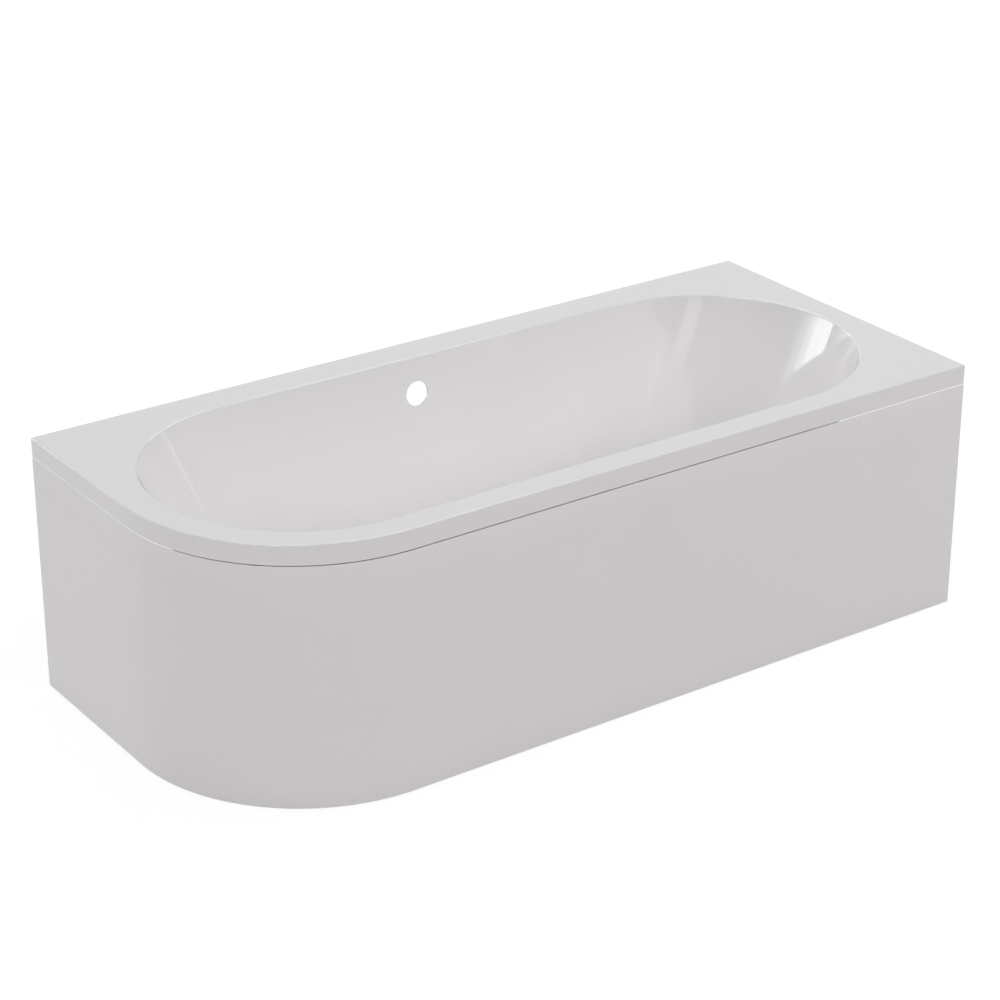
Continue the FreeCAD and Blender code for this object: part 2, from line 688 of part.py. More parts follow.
def make_nuts(label, top, height):
    """One nut on each rod, in one node; top is the height of the nuts' upper faces."""
    nuts = []
    low = f"{top} - {height}"
    for index, (x, y) in enumerate(foot_places(), start=1):
        block = make_hexagon(f"{label}_block_{index}", x, y, low, "nut_flats", height)
        hole = make_cylinder(f"{label}_hole_{index}", x, y, low, "rod_diameter + 2 * nut_fit", height)
        nuts.append(subtract(f"{label}_{index}", block, hole))
    return group(label, nuts)


def make_side_panel():
    """One-piece panel: a sheet with an inward return at its foot and a bevel behind its top edge."""
    body = new_body("side_panel")
    sketch = new_sketch(body, "panel_plan", offset="panel_floor_gap")
    draw_panel_strip(sketch, "panel_setback", PANEL_INNER)
    block = extrude(body, "Pad", "panel_block", sketch, "panel_height")
    foot = number("panel_floor_gap")
    edges = panel_edges(block, foot, "panel_setback")
    fillet(body, "panel_edges", block, edges, "panel_edge_radius")
    sketch = new_sketch(body, "panel_inside", offset="panel_floor_gap + panel_wall")
    draw_panel_strip(sketch, "(panel_setback + panel_wall)", f"({PANEL_INNER} + panel_wall)")
    sheet_form = extrude(body, "Pocket", "panel_hollow", sketch, "panel_height", reverse=True)
    bevel = body.newObject("PartDesign::Chamfer", "panel_bevel")
    bevel.Base = (sheet_form, panel_edges(sheet_form, number(PANEL_TOP), "(panel_setback + panel_wall)"))
    bind(bevel, Size="panel_wall - panel_top_land")
    doc.recompute()
    return body


def panel_edges(feature, height, inset):
    """Names of the edges of a feature that run along the panel at a height and an inset."""
    names = []
    for name in edges_at(feature, height, height):
        if abs(panel_depth(feature.Shape.getElement(name)) - number(inset)) < NEAR:
            names.append(name)
    return names


def panel_depth(edge):
    """Distance of the middle of an edge from the outline's left end, large corner and front."""
    reach = number("corner_radius")
    point = edge.valueAt((edge.FirstParameter + edge.LastParameter) / 2)
    left, front = point.x - number(X_LEFT), point.y - number(Y_FRONT)
    if left < reach and front < reach:
        return reach - math.hypot(reach - left, reach - front)
    return min(left, front)


def make_panel_backing():
    """Glass-fibre layer behind the panel, from its foot return to below its top edge."""
    body = new_body("panel_backing")
    sketch = new_sketch(body, "panel_backing_plan", offset="panel_floor_gap + panel_wall + bond_gap")
    draw_panel_strip(sketch, PANEL_BACK, f"({PANEL_BACK} + panel_backing_wall)")
    height = "panel_height - panel_wall - bond_gap - panel_backing_drop"
    extrude(body, "Pad", "panel_backing_layer", sketch, height)
    return body


def make_panel_rail():
    """Rail bonded along the panel's back, under which the clips hook."""
    body = new_body("panel_rail")
    sketch = new_sketch(body, "panel_rail_plan", offset=RAIL_UNDER)
    draw_panel_strip(sketch, RAIL_START, f"({RAIL_START} + rail_wall)")
    extrude(body, "Pad", "panel_rail_strip", sketch, "rail_height")
    return body


def make_strip(label, section, width, x, y, turn):
    """Bent strip: a section in depth and height, padded to a width, with its depth axis turned inward."""
    body = new_body(label)
    sketch = new_sketch(body, f"{label}_section", "XZ_Plane")
    draw_polygon(sketch, section)
    extrude(body, "Pad", f"{label}_bent", sketch, width, symmetric=True)
    body.Placement = Placement(Vector(), Rotation(Vector(0, 0, 1), turn))
    place(body, x, y)
    return body


def make_clip(index, x, y, turn):
    """Clip under a batten: a tab, a web and a ledge that carries the panel's rail."""
    ledge = f"({RAIL_UNDER} - clip_gap)"
    outer, web = f"({RAIL_START} + clip_ledge_gap)", CLIP_WEB
    back, tab = f"({CLIP_WEB} + clip_wall)", f"({CLIP_WEB} + clip_wall + clip_tab)"
    low, under = f"({ledge} - clip_wall)", f"({BATTEN_UNDER} - clip_wall)"
    section = [
        (outer, low), (back, low), (back, under), (tab, under),
        (tab, BATTEN_UNDER), (web, BATTEN_UNDER), (web, ledge), (outer, ledge),
    ]
    body = make_strip(f"panel_clip_{index}", section, "clip_width", x, y, turn)
    sketch = new_sketch(body, f"clip_hole_{index}", offset=BATTEN_UNDER)
    draw_circle(sketch, CLIP_SCREW, "0", "screw_diameter + screw_clearance")
    extrude(body, "Pocket", f"clip_drilled_{index}", sketch, f"{DRILLED_WALLS} * clip_wall", symmetric=True)
    return body


def make_wall_bracket(label, x, y, turn):
    """Cranked strip that passes under the rim lip and lies flat on the wall."""
    start = BATTEN_START
    tab = f"({start} + bracket_wall + clip_tab + screw_head_diameter)"
    under_lip = f"({LIP_BOTTOM} - clip_gap)"
    low = f"({under_lip} - bracket_leg)"
    section = [
        ("0", low), ("bracket_wall", low), ("bracket_wall", f"{under_lip} - bracket_wall"),
        (f"{start} + bracket_wall", f"{under_lip} - bracket_wall"),
        (f"{start} + bracket_wall", f"{BATTEN_UNDER} - bracket_wall"),
        (tab, f"{BATTEN_UNDER} - bracket_wall"), (tab, BATTEN_UNDER), (start, BATTEN_UNDER),
        (start, under_lip), ("0", under_lip),
    ]
    body = make_strip(label, section, "bracket_width", x, y, turn)
    sketch = new_sketch(body, f"{label}_screw_holes", offset=BATTEN_UNDER)
    for side in ("-", "+"):
        draw_circle(sketch, BRACKET_SCREW, f"0 {side} {BRACKET_SCREW_STEP}", "screw_diameter + screw_clearance")
    extrude(body, "Pocket", f"{label}_screw_drilled", sketch, f"{DRILLED_WALLS} * bracket_wall", symmetric=True)
    sketch = new_sketch(body, f"{label}_wall_holes", "YZ_Plane")
    for step in ("0", "bracket_hole_spacing"):
        draw_circle(sketch, "0", f"{low} + bracket_hole_margin + {step}", "bracket_hole")
    extrude(body, "Pocket", f"{label}_wall_drilled", sketch, f"{DRILLED_WALLS} * bracket_wall", symmetric=True)
    return body


FOOT_BRACKET_START = f"(overall_width / 2 + {BASIN_Y} - {CRADLE_LENGTH} / 2)"


def make_foot_bracket(label, x):
    """Strip from the front of a channel down to the panel's bottom return, which it holds down."""
    ledge = "(panel_floor_gap + panel_wall + clip_gap)"
    tip, leg = f"({RAIL_START} + clip_ledge_gap)", f"({PANEL_INNER} + clip_ledge_gap)"
    end = f"({FOOT_BRACKET_START} + foot_bracket_tab)"
    section = [
        (tip, ledge), (f"{leg} + bracket_wall", ledge),
        (f"{leg} + bracket_wall", CRADLE_TOP), (end, CRADLE_TOP),
        (end, f"{CRADLE_TOP} + bracket_wall"), (leg, f"{CRADLE_TOP} + bracket_wall"),
        (leg, f"{ledge} + bracket_wall"), (tip, f"{ledge} + bracket_wall"),
    ]
    body = make_strip(label, section, "foot_bracket_width", x, Y_FRONT, 90)
    sketch = new_sketch(body, f"{label}_hole", offset=CRADLE_TOP)
    draw_circle(sketch, f"{FOOT_BRACKET_START} + foot_bracket_tab / 2", "0", "bolt_diameter + screw_clearance")
    extrude(body, "Pocket", f"{label}_drilled", sketch, f"{DRILLED_WALLS} * bracket_wall", symmetric=True)
    return body


def make_bracket_bolts():
    """Bolt with its nut through each foot bracket and channel web, in one node."""
    y = f"({Y_FRONT} + {FOOT_BRACKET_START} + foot_bracket_tab / 2)"
    seat, nut_top = f"({CRADLE_TOP} + bracket_wall)", WEB_UNDER
    bolts = []
    for side, x in cradle_places():
        head = make_hexagon(f"bolt_head_{side}", x, y, seat, "bolt_flats", "bolt_head_height")
        nut = make_hexagon(f"bolt_nut_{side}", x, y, f"{nut_top} - bolt_nut_height", "bolt_flats",
                           "bolt_nut_height")
        shank = make_cylinder(f"bolt_shank_{side}", x, y, f"{nut_top} - bolt_nut_height - bolt_tail",
                              "bolt_diameter", f"{seat} - {nut_top} + bolt_nut_height + bolt_tail")
        bolts.append(fuse(f"bolt_{side}", [head, nut, shank]))
    return group("foot_bracket_bolts", bolts)


def make_fastener_groups():
    """Screws of the channels, clips and wall brackets, one node for each kind."""
    cradle = []
    for side, x in cradle_places():
        for index, y in enumerate(cradle_screw_places(), start=1):
            cradle.append(make_screw(f"cradle_screw_{side}_{index}", x, y, WEB_UNDER, "cradle_wall"))
    clips = []
    for index, (x, y) in enumerate(clip_screw_places(), start=1):
        clips.append(make_screw(f"clip_screw_{index}", x, y, f"({BATTEN_UNDER} - clip_wall)", "clip_wall"))
    brackets = []
    for index, (x, y) in enumerate(bracket_screw_places(), start=1):
        seat = f"({BATTEN_UNDER} - bracket_wall)"
        brackets.append(make_screw(f"bracket_screw_{index}", x, y, seat, "bracket_wall"))
    return [group("cradle_screws", cradle), group("clip_screws", clips), group("bracket_screws", brackets)]


def make_nodes():
    """Every piece of the bath, in order from the shell down."""
    nodes = [make_shell(), make_backing(), make_board()]
    nodes.extend(make_battens())
    for side, x in cradle_places():
        nodes.append(make_cradle(f"leg_cradle_{side}", x))
    for index, (x, y) in enumerate(foot_places(), start=1):
        nodes.append(make_foot_pad(index, x, y))
        nodes.append(make_foot_rod(index, x, y))
    nodes.append(make_nuts("captive_nuts", WEB_UNDER, "captive_nut_height"))
    nodes.append(make_nuts("lock_nuts", f"({WEB_UNDER} - captive_nut_height)", "lock_nut_height"))
    nodes.append(make_side_panel())
    nodes.append(make_panel_backing())
    nodes.append(make_panel_rail())
    for index, x in enumerate(front_clip_places(), start=1):
        nodes.append(make_clip(index, x, Y_FRONT, 90))
    nodes.append(make_clip(len(CLIP_TENTHS) + 1, *corner_place("0"), HALF_CORNER))
    for index, x in enumerate(back_bracket_places(), start=1):
        nodes.append(make_wall_bracket(f"wall_bracket_back_{index}", x, Y_BACK, -90))
    nodes.append(make_wall_bracket("wall_bracket_end", X_RIGHT, BASIN_Y, 180))
    for side, x in cradle_places():
        nodes.append(make_foot_bracket(f"panel_foot_bracket_{side}", x))
    nodes.append(make_bracket_bolts())
    nodes.extend(make_fastener_groups())
    return nodes


def write_nodes(nodes):
    """Check every object, then write one file for each piece."""
    doc.recompute()
    for thing in doc.Objects:
        if "Invalid" in thing.State or "Error" in thing.State:
            raise RuntimeError(f"{thing.Label} is in state {thing.State}")
    for node in nodes:
        shape = node.Shape
        if shape.isNull() or not shape.isValid() or not shape.Solids:
            raise RuntimeError(f"{node.Label} has no valid solid")
        shape.exportStep(f"parts/{node.Label}.step")
        box = shape.BoundBox
        print(f"{node.Label}: {len(shape.Solids)} solids, {shape.Volume:.0f} mm3, "
              f"x {box.XMin:.1f} {box.XMax:.1f}, y {box.YMin:.1f} {box.YMax:.1f}, "
              f"z {box.ZMin:.1f} {box.ZMax:.1f}")


write_nodes(make_nodes())
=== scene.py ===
"""Looks of an asymmetric bathtub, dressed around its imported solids.

Frame: +X along the bath to the right, +Y to the wall behind it, +Z up, in metres. The origin lies on
the floor under the middle of the outline.
"""
import logging
import math
from dataclasses import dataclass, field
from enum import Enum
from typing import Any, Sequence

import bmesh
import bpy
import numpy as np
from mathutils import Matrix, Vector


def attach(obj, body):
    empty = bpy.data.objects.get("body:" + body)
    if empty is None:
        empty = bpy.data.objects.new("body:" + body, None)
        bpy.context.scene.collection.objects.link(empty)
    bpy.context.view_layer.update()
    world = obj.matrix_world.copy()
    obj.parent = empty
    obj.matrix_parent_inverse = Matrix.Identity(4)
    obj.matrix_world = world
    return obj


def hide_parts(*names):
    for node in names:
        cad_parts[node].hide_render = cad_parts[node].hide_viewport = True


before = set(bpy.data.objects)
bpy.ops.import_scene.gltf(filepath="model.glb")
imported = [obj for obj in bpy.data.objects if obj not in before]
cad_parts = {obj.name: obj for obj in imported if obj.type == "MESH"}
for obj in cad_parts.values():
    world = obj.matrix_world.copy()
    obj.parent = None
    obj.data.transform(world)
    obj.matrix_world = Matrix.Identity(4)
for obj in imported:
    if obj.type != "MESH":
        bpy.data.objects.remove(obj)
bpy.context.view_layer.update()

LOG = logging.getLogger("bathtub")
SMOOTH_ANGLE = math.radians(32)
SAME = 1e-9
Pair = tuple[float, float]
Triple = tuple[float, float, float]
Colour = Triple
UNIT: Pair = (0.0, 1.0)
Faces = list[list[int]]
Surface = tuple[np.ndarray, Faces]


# ---- surfaces ----


def grid_quads(index: np.ndarray, close_rows: bool, close_columns: bool) -> np.ndarray:
    """Quads between neighbouring points of a grid.

    Args:
        index: vertex numbers of the grid, rows by columns.
        close_rows: whether the last row joins the first.
        close_columns: whether the last column joins the first.

    Returns:
        Corner numbers, rows by columns by four.
    """
    rows, columns = index.shape
    i = np.arange(rows if close_rows else rows - 1)[:, None]
    j = np.arange(columns if close_columns else columns - 1)[None, :]
    below, beside = (i + 1) % rows, (j + 1) % columns
    return np.stack([index[i, j], index[i, beside], index[below, beside], index[below, j]], axis=-1)


def bearings(columns: int) -> np.ndarray:
    """Equal angles round a turned form, one for each column."""
    return np.arange(columns) * 2 * np.pi / columns


def all_round(sizes: np.ndarray, columns: int) -> np.ndarray:
    """Rows that each keep one size at every angle."""
    return np.repeat(sizes[:, None], columns, axis=1)


def numbered(rows: int, columns: int, start: int = 0) -> np.ndarray:
    """Vertex numbers of a rows by columns grid, counted from a start."""
    return start + np.arange(rows * columns).reshape(rows, columns)


def make_piece(name: str, points: np.ndarray, faces: Faces) -> bpy.types.Object:
    """Mesh object at the origin, smooth but for its sharp edges, with its faces outward.

    Args:
        name: the piece's name.
        points: vertex places; the last axis holds x, y and z.
        faces: corner numbers of each face.

    Returns:
        The new object, linked to the scene.
    """
    mesh = bpy.data.meshes.new(name)
    mesh.from_pydata(points.reshape(-1, 3).tolist(), [], faces)
    work = bmesh.new()
    work.from_mesh(mesh)
    bmesh.ops.recalc_face_normals(work, faces=work.faces)
    work.to_mesh(mesh)
    work.free()
    mesh.shade_smooth()
    mesh.set_sharp_from_angle(angle=SMOOTH_ANGLE)
    piece = bpy.data.objects.new(name, mesh)
    bpy.context.scene.collection.objects.link(piece)
    return piece


def repeat(points: np.ndarray, faces: Faces, places: Sequence[Sequence[float]]) -> Surface:
    """The same form at several places.

    Args:
        points: vertex places of one form.
        faces: its faces.
        places: where each copy goes.

    Returns:
        Points and faces of all the copies.
    """
    flat = points.reshape(-1, 3)
    copies = flat[None] + np.asarray(places, float)[:, None, :]
    starts = [copy * len(flat) for copy in range(len(places))]
    return copies.reshape(-1, 3), [[corner + start for corner in face] for start in starts for face in faces]


def turned(radii: np.ndarray, heights: np.ndarray, hollow: bool) -> Surface:
    """Form about a vertical axis: at each height and angle the surface lies at its own radius.

    Args:
        radii: distance from the axis, rows by columns of equal angles.
        heights: height of each row, or of each point.
        hollow: whether the last row joins the first; if not, both ends are closed flat.

    Returns:
        Points and faces.
    """
    rows, columns = radii.shape
    angle = bearings(columns)
    tall = np.broadcast_to(heights if heights.ndim == 2 else heights[:, None], radii.shape)
    points = np.stack([radii * np.cos(angle), radii * np.sin(angle), tall], axis=-1)
    index = numbered(rows, columns)
    faces = grid_quads(index, hollow, True).reshape(-1, 4).tolist()
    if not hollow:
        faces += [index[0].tolist(), index[-1].tolist()]
    return points, faces


def ripple(points: np.ndarray, pitch: float) -> np.ndarray:
    """Uneven height from -1 to 1: three crossing sine waves whose own phases are bent by sine waves.

    Args:
        points: places on the surface.
        pitch: length of the first wave.

    Returns:
        Height at each place.
    """
    x, y, z = np.moveaxis(points * (2 * np.pi / pitch), -1, 0)
    first = np.sin(x + 1.7 * np.sin(0.61 * z + 0.4 * y))
    second = np.sin(0.83 * z + 1.3 * np.sin(0.53 * x - 0.7 * y) + 1.1)
    third = np.sin(1.21 * y + 1.5 * np.sin(0.47 * z + 0.58 * x) + 2.3)
    return (first + second + third) / 3


class Run(Enum):
    """Stretches of the outline, in order from the start of the straight front."""

    FRONT = 0
    FRONT_RIGHT = 1
    RIGHT = 2
    BACK_RIGHT = 3
    BACK = 4
    BACK_LEFT = 5
    LEFT = 6
    LARGE_CORNER = 7


@dataclass(frozen=True)
class Outline:
    """Plan of the bath: a rectangle with one large corner, its other corners just taken off."""

    half_length: float = 0.850
    half_width: float = 0.375
    large_radius: float = 0.370
    small_radius: float = 0.003
    least_radius: float = 0.0004

    @property
    def corner_centre(self) -> np.ndarray:
        """Centre of the large corner."""
        return np.array([self.large_radius - self.half_length, self.large_radius - self.half_width])

    def points(self, run: np.ndarray, share: np.ndarray, inset: float) -> np.ndarray:
        """Places on the outline drawn in by an inset.

        A straight run goes evenly between its two ends. A small corner is a quarter circle, and so is the
        large one, whose radius shrinks by the inset.

        Args:
            run: the stretch that each place is on, as its number.
            share: how far along its stretch each place is, from 0 to 1.
            inset: distance inward from the outline.

        Returns:
            Places in plan, x and y.
        """
        length, width = self.half_length, self.half_width
        pull = max(self.small_radius, inset + self.least_radius)
        radius = pull - inset
        cx, cy = self.corner_centre
        quarter = share * np.pi / 2
        cos, sin = np.cos(quarter), np.sin(quarter)
        along_front = cx + share * (length - pull - cx)
        along_side = (share * 2 - 1) * (width - pull)
        along_back = (1 - share * 2) * (length - pull)
        along_left = (width - pull) + share * (cy - width + pull)
        large = self.large_radius - inset
        inner_x, inner_y = length - pull, width - pull
        x = np.choose(run, [
            along_front, inner_x + radius * sin, length - inset + 0 * share, inner_x + radius * cos,
            along_back, -inner_x - radius * sin, inset - length + 0 * share, cx - large * cos])
        y = np.choose(run, [
            inset - width + 0 * share, -inner_y - radius * cos, along_side, inner_y + radius * sin,
            width - inset + 0 * share, inner_y + radius * cos, along_left, cy - large * sin])
        return np.stack([x, y], axis=-1)


@dataclass(frozen=True)
class BasinForm:
    """Sizes that every face of the basin shares."""

    centre_x: float = 0.0
    centre_y: float = -0.010
    half_length: float = 0.790
    half_width: float = 0.307
    deck: float = 0.534
    floor: float = 0.114
    side_draft: float = math.radians(7)
    end_draft: float = math.radians(24)
    floor_radius: float = 0.080
    overflow_x: float = -0.032
    overflow_z: float = 0.457
    overflow_radius: float = 0.026
    waste_x: float = -0.032
    waste_radius: float = 0.026

    @property
    def end_reach(self) -> float:
        """Distance of the end arcs' centres from the middle, at the deck."""
        return self.half_length - self.half_width


@dataclass
class Columns:
    """Lines that run up the basin and out over the deck, the same for every row of a surface.

    Each has the angle of its wall, the side of the middle that its arc's centre is on, from -1 to 1, and
    its place on the outline.
    """

    form: BasinForm
    outline: Outline
    straight: int = 40
    quarter: int = 26
    end: int = 44
    corner: int = 5
    corner_spread: float = math.radians(0.5)
    hole_half: float = 0.042
    hole_steps: int = 16
    angle: np.ndarray = field(init=False)
    side: np.ndarray = field(init=False)
    run: np.ndarray = field(init=False)
    share: np.ndarray = field(init=False)
    hole_first: int = field(init=False)

    def __post_init__(self) -> None:
        """Lay the columns out in order round the basin, from the start of the front."""
        self._parts: list[tuple[np.ndarray, ...]] = []
        reach = self.form.end_reach
        length, width = self.outline.half_length, self.outline.half_width
        front, back = width + self.form.centre_y, width - self.form.centre_y
        beside = length - reach
        low, high = -math.atan2(front, beside), math.atan2(back, beside)
        quarter = math.pi / 2
        self._straight(Run.FRONT, np.linspace(-1, 1, self.straight), -quarter)
        self._arc(Run.FRONT, 1, -quarter, low - self.corner_spread, self.quarter)
        self._corner(Run.FRONT_RIGHT, 1, low)
        self._arc(Run.RIGHT, 1, low + self.corner_spread, high - self.corner_spread, self.end)
        self._corner(Run.BACK_RIGHT, 1, high)
        self._arc(Run.BACK, 1, high + self.corner_spread, quarter, self.quarter)
        self._straight(Run.BACK, self._back_sides(), quarter)
        self._arc(Run.BACK, -1, quarter, math.pi - high - self.corner_spread, self.quarter)
        self._corner(Run.BACK_LEFT, -1, math.pi - high)
        self._arc(Run.LEFT, -1, math.pi - high + self.corner_spread, math.pi, self.quarter)
        self._arc(Run.LARGE_CORNER, -1, math.pi, 3 * quarter, self.end)
        self.angle, self.side, run, self.share = (np.concatenate(rows) for rows in zip(*self._parts))
        self.run = run.astype(int)
        reached = self.side < self._hole_side(1) + SAME
        self.hole_first = int(np.argmax((self.run == Run.BACK.value) & reached))

    def _hole_side(self, edge: float) -> float:
        """Side value at an edge of the overflow's patch, at the height of the hole.

        Args:
            edge: 1 for the right edge and -1 for the left.

        Returns:
            The side value.
        """
        fall = self.form.deck - self.form.overflow_z
        spread = math.tan(self.form.end_draft) - math.tan(self.form.side_draft)
        return (self.form.overflow_x + edge * self.hole_half) / (self.form.end_reach - fall * spread)

    def _back_sides(self) -> np.ndarray:
        """Side values along the back, closer together round the overflow hole.

        Returns:
            The values, from the right end to the left.
        """
        first, last = self._hole_side(1), self._hole_side(-1)
        half = self.straight // 2
        return np.concatenate([
            np.linspace(1, first, half)[:-1], np.linspace(first, last, self.hole_steps + 1),
            np.linspace(last, -1, half)[1:]])

    def _add(self, run: Run, side: np.ndarray, angle: np.ndarray, share: np.ndarray) -> None:
        """Add columns, without the last, which starts the next stretch."""
        number = np.full(len(share), float(run.value))
        self._parts.append((angle[:-1], side[:-1], number[:-1], share[:-1]))

    def _straight(self, run: Run, side: np.ndarray, angle: float) -> None:
        """Columns along a straight wall, straight across the deck from it."""
        self._add(run, side, np.full(len(side), angle), self._share_of_x(run, side * self.form.end_reach))

    def _share_of_x(self, run: Run, x: np.ndarray) -> np.ndarray:
        """Share along the front or back at which a place lies.

        Args:
            run: the front or the back.
            x: places along it.

        Returns:
            Shares from 0 to 1.
        """
        end = self.outline.half_length - self.outline.small_radius
        start = self.outline.corner_centre[0]
        if run is Run.FRONT:
            return np.clip((x - start) / (end - start), 0, 1)
        return np.clip((1 - x / end) / 2, 0, 1)

    def _arc(self, run: Run, side: int, first: float, last: float, count: int) -> None:
        """Columns round an end arc, each carried straight out from the arc's centre to the outline.

        Args:
            run: the stretch of the outline that they reach.
            side: 1 for the right end and -1 for the left.
            first: angle of the first column.
            last: angle of the last column, which is left to the next stretch.
            count: number of columns.
        """
        angle = np.linspace(first, last, count)
        origin = side * self.form.end_reach
        middle, width = self.form.centre_y, self.outline.half_width
        low = self.outline.small_radius - width
        with np.errstate(divide="ignore", invalid="ignore"):
            if run is Run.LARGE_CORNER:
                share = (angle - math.pi) / (math.pi / 2)
            elif run in (Run.FRONT, Run.BACK):
                away = (-width if run is Run.FRONT else width) - middle
                share = self._share_of_x(run, origin + away * np.cos(angle) / np.sin(angle))
            else:
                y = middle + (side * self.outline.half_length - origin) * np.tan(angle)
                start, end = (low, -low) if run is Run.RIGHT else (-low, self.outline.corner_centre[1])
                share = np.clip((y - start) / (end - start), 0, 1)
        self._add(run, np.full(count, float(side)), angle, share)

    def _corner(self, run: Run, side: int, middle: float) -> None:
        """Columns at a small corner, spread a little about one angle.

        Args:
            run: the corner.
            side: 1 for the right end and -1 for the left.
            middle: angle at which the corner is seen.
        """
        share = np.linspace(0, 1, self.corner)
        angle = middle + (share * 2 - 1) * self.corner_spread
        self._add(run, np.full(self.corner, float(side)), angle, share)

    @property
    def count(self) -> int:
        """Number of columns."""
        return len(self.angle)


@dataclass
class BasinFace:
    """One face of the basin, moved outward from the inner face along its own normal.

    At a height the basin is an oval of two half circles and two straight sides. Both half sizes fall off
    evenly with depth, so each wall line is straight. The floor edge is the path of a ball that touches the
    wall and the floor.
    """

    form: BasinForm
    columns: Columns
    offset: float

    def __post_init__(self) -> None:
        """Work out the slope of each column's wall."""
        form, columns = self.form, self.columns
        self._width_rate, self._length_rate = math.tan(form.side_draft), math.tan(form.end_draft)
        self.radial = np.stack([np.cos(columns.angle), np.sin(columns.angle), 0 * columns.angle], axis=-1)
        slope = columns.side * (self._length_rate - self._width_rate) * self.radial[:, 0] + self._width_rate
        self.lean = np.arctan(slope)
        self.normal = self.radial * np.cos(self.lean)[:, None]
        self.normal[:, 2] = -np.sin(self.lean)
        self.floor = form.floor - self.offset
        self.radius = form.floor_radius + self.offset

    def wall(self, z: np.ndarray | float) -> np.ndarray:
        """Places on the wall.

        Args:
            z: one height, or a height for each column.

        Returns:
            One place for each column.
        """
        form, columns = self.form, self.columns
        z = np.broadcast_to(z, columns.angle.shape)
        fall = form.deck - z
        half_width = form.half_width - fall * self._width_rate + self.offset / math.cos(form.side_draft)
        half_length = form.half_length - fall * self._length_rate + self.offset / math.cos(form.end_draft)
        x = form.centre_x + columns.side * (half_length - half_width) + half_width * self.radial[:, 0]
        return np.stack([x, form.centre_y + half_width * self.radial[:, 1], z], axis=-1)

    def foot_height(self) -> np.ndarray:
        """Height at which each column's wall meets the rounded floor edge."""
        return self.floor + self.radius * (1 - np.sin(self.lean))

    def floor_edge(self, steps: int) -> np.ndarray:
        """Rows of the rounded floor edge, from the flat floor up to the wall.

        Each row turns from straight down to the wall's normal about the ball's centre.

        Args:
            steps: number of rows.

        Returns:
            Places, rows by columns.
        """
        centre = self.wall(self.foot_height()) - self.radius * self.normal
        turn = np.linspace(0, 1, steps)[:, None] * (np.pi / 2 - self.lean)
        rows = centre + self.radius * np.sin(turn)[..., None] * self.radial
        rows[..., 2] = centre[:, 2] - self.radius * np.cos(turn)
        return rows

    def walls(self, shares: np.ndarray, top: np.ndarray | float) -> np.ndarray:
        """Rows of the wall at shares of the way from its foot to a top height."""
        foot = self.foot_height()
        return np.stack([self.wall(foot + share * (top - foot)) for share in shares])

    def rim_edge(self, radius: float, steps: int) -> np.ndarray:
        """Rows of the rounded edge between wall and deck, from the wall to the deck.

        Each row turns from the wall's normal to straight up about the centre of the edge.

        Args:
            radius: radius of the edge.
            steps: number of rows.

        Returns:
            Places, rows by columns.
        """
        touch = self.form.deck - radius * (1 - np.sin(self.lean))
        centre = self.wall(touch) + radius * self.normal
        turn = np.linspace(1, 0, steps)[:, None] * (np.pi / 2 - self.lean)
        rows = centre - radius * np.sin(turn)[..., None] * self.radial
        rows[..., 2] = centre[:, 2] + radius * np.cos(turn)
        return rows

    def waste_rings(self, edge: np.ndarray, radii: Sequence[float], depths: Sequence[float]) -> np.ndarray:
        """Circles round the waste hole, each column at its own bearing from the hole.

        Args:
            edge: one place for each column, which gives its bearing.
            radii: radius of each circle.
            depths: height of each circle.

        Returns:
            Places, circles by columns.
        """
        centre = np.array([self.form.waste_x, self.form.centre_y])
        bearing = np.arctan2(edge[:, 1] - centre[1], edge[:, 0] - centre[0])
        ring = np.stack([np.cos(bearing), np.sin(bearing)], axis=-1)
        rows = np.empty((len(radii), len(bearing), 3))
        rows[..., :2] = centre + np.asarray(radii)[:, None, None] * ring
        rows[..., 2] = np.asarray(depths)[:, None]
        return rows

    def overflow_frame(self) -> tuple[np.ndarray, np.ndarray, np.ndarray, np.ndarray]:
        """Where the overflow lies on this face.

        Returns:
            Its centre, the directions along and up the wall, and the way outward.
        """
        lean = self.form.side_draft
        fall = self.form.deck - self.form.overflow_z
        y = self.form.centre_y + self.form.half_width - fall * self._width_rate
        outward = np.array([0, math.cos(lean), -math.sin(lean)])
        centre = np.array([self.form.overflow_x, y, self.form.overflow_z]) + self.offset * outward
        return centre, np.array([1.0, 0, 0]), np.array([0, math.sin(lean), math.cos(lean)]), outward


def blend(first: np.ndarray, last: np.ndarray, shares: Sequence[float]) -> np.ndarray:
    """Rows at shares of the way from one row to another."""
    share = np.asarray(shares, float)[:, None, None]
    return first + share * (last - first)


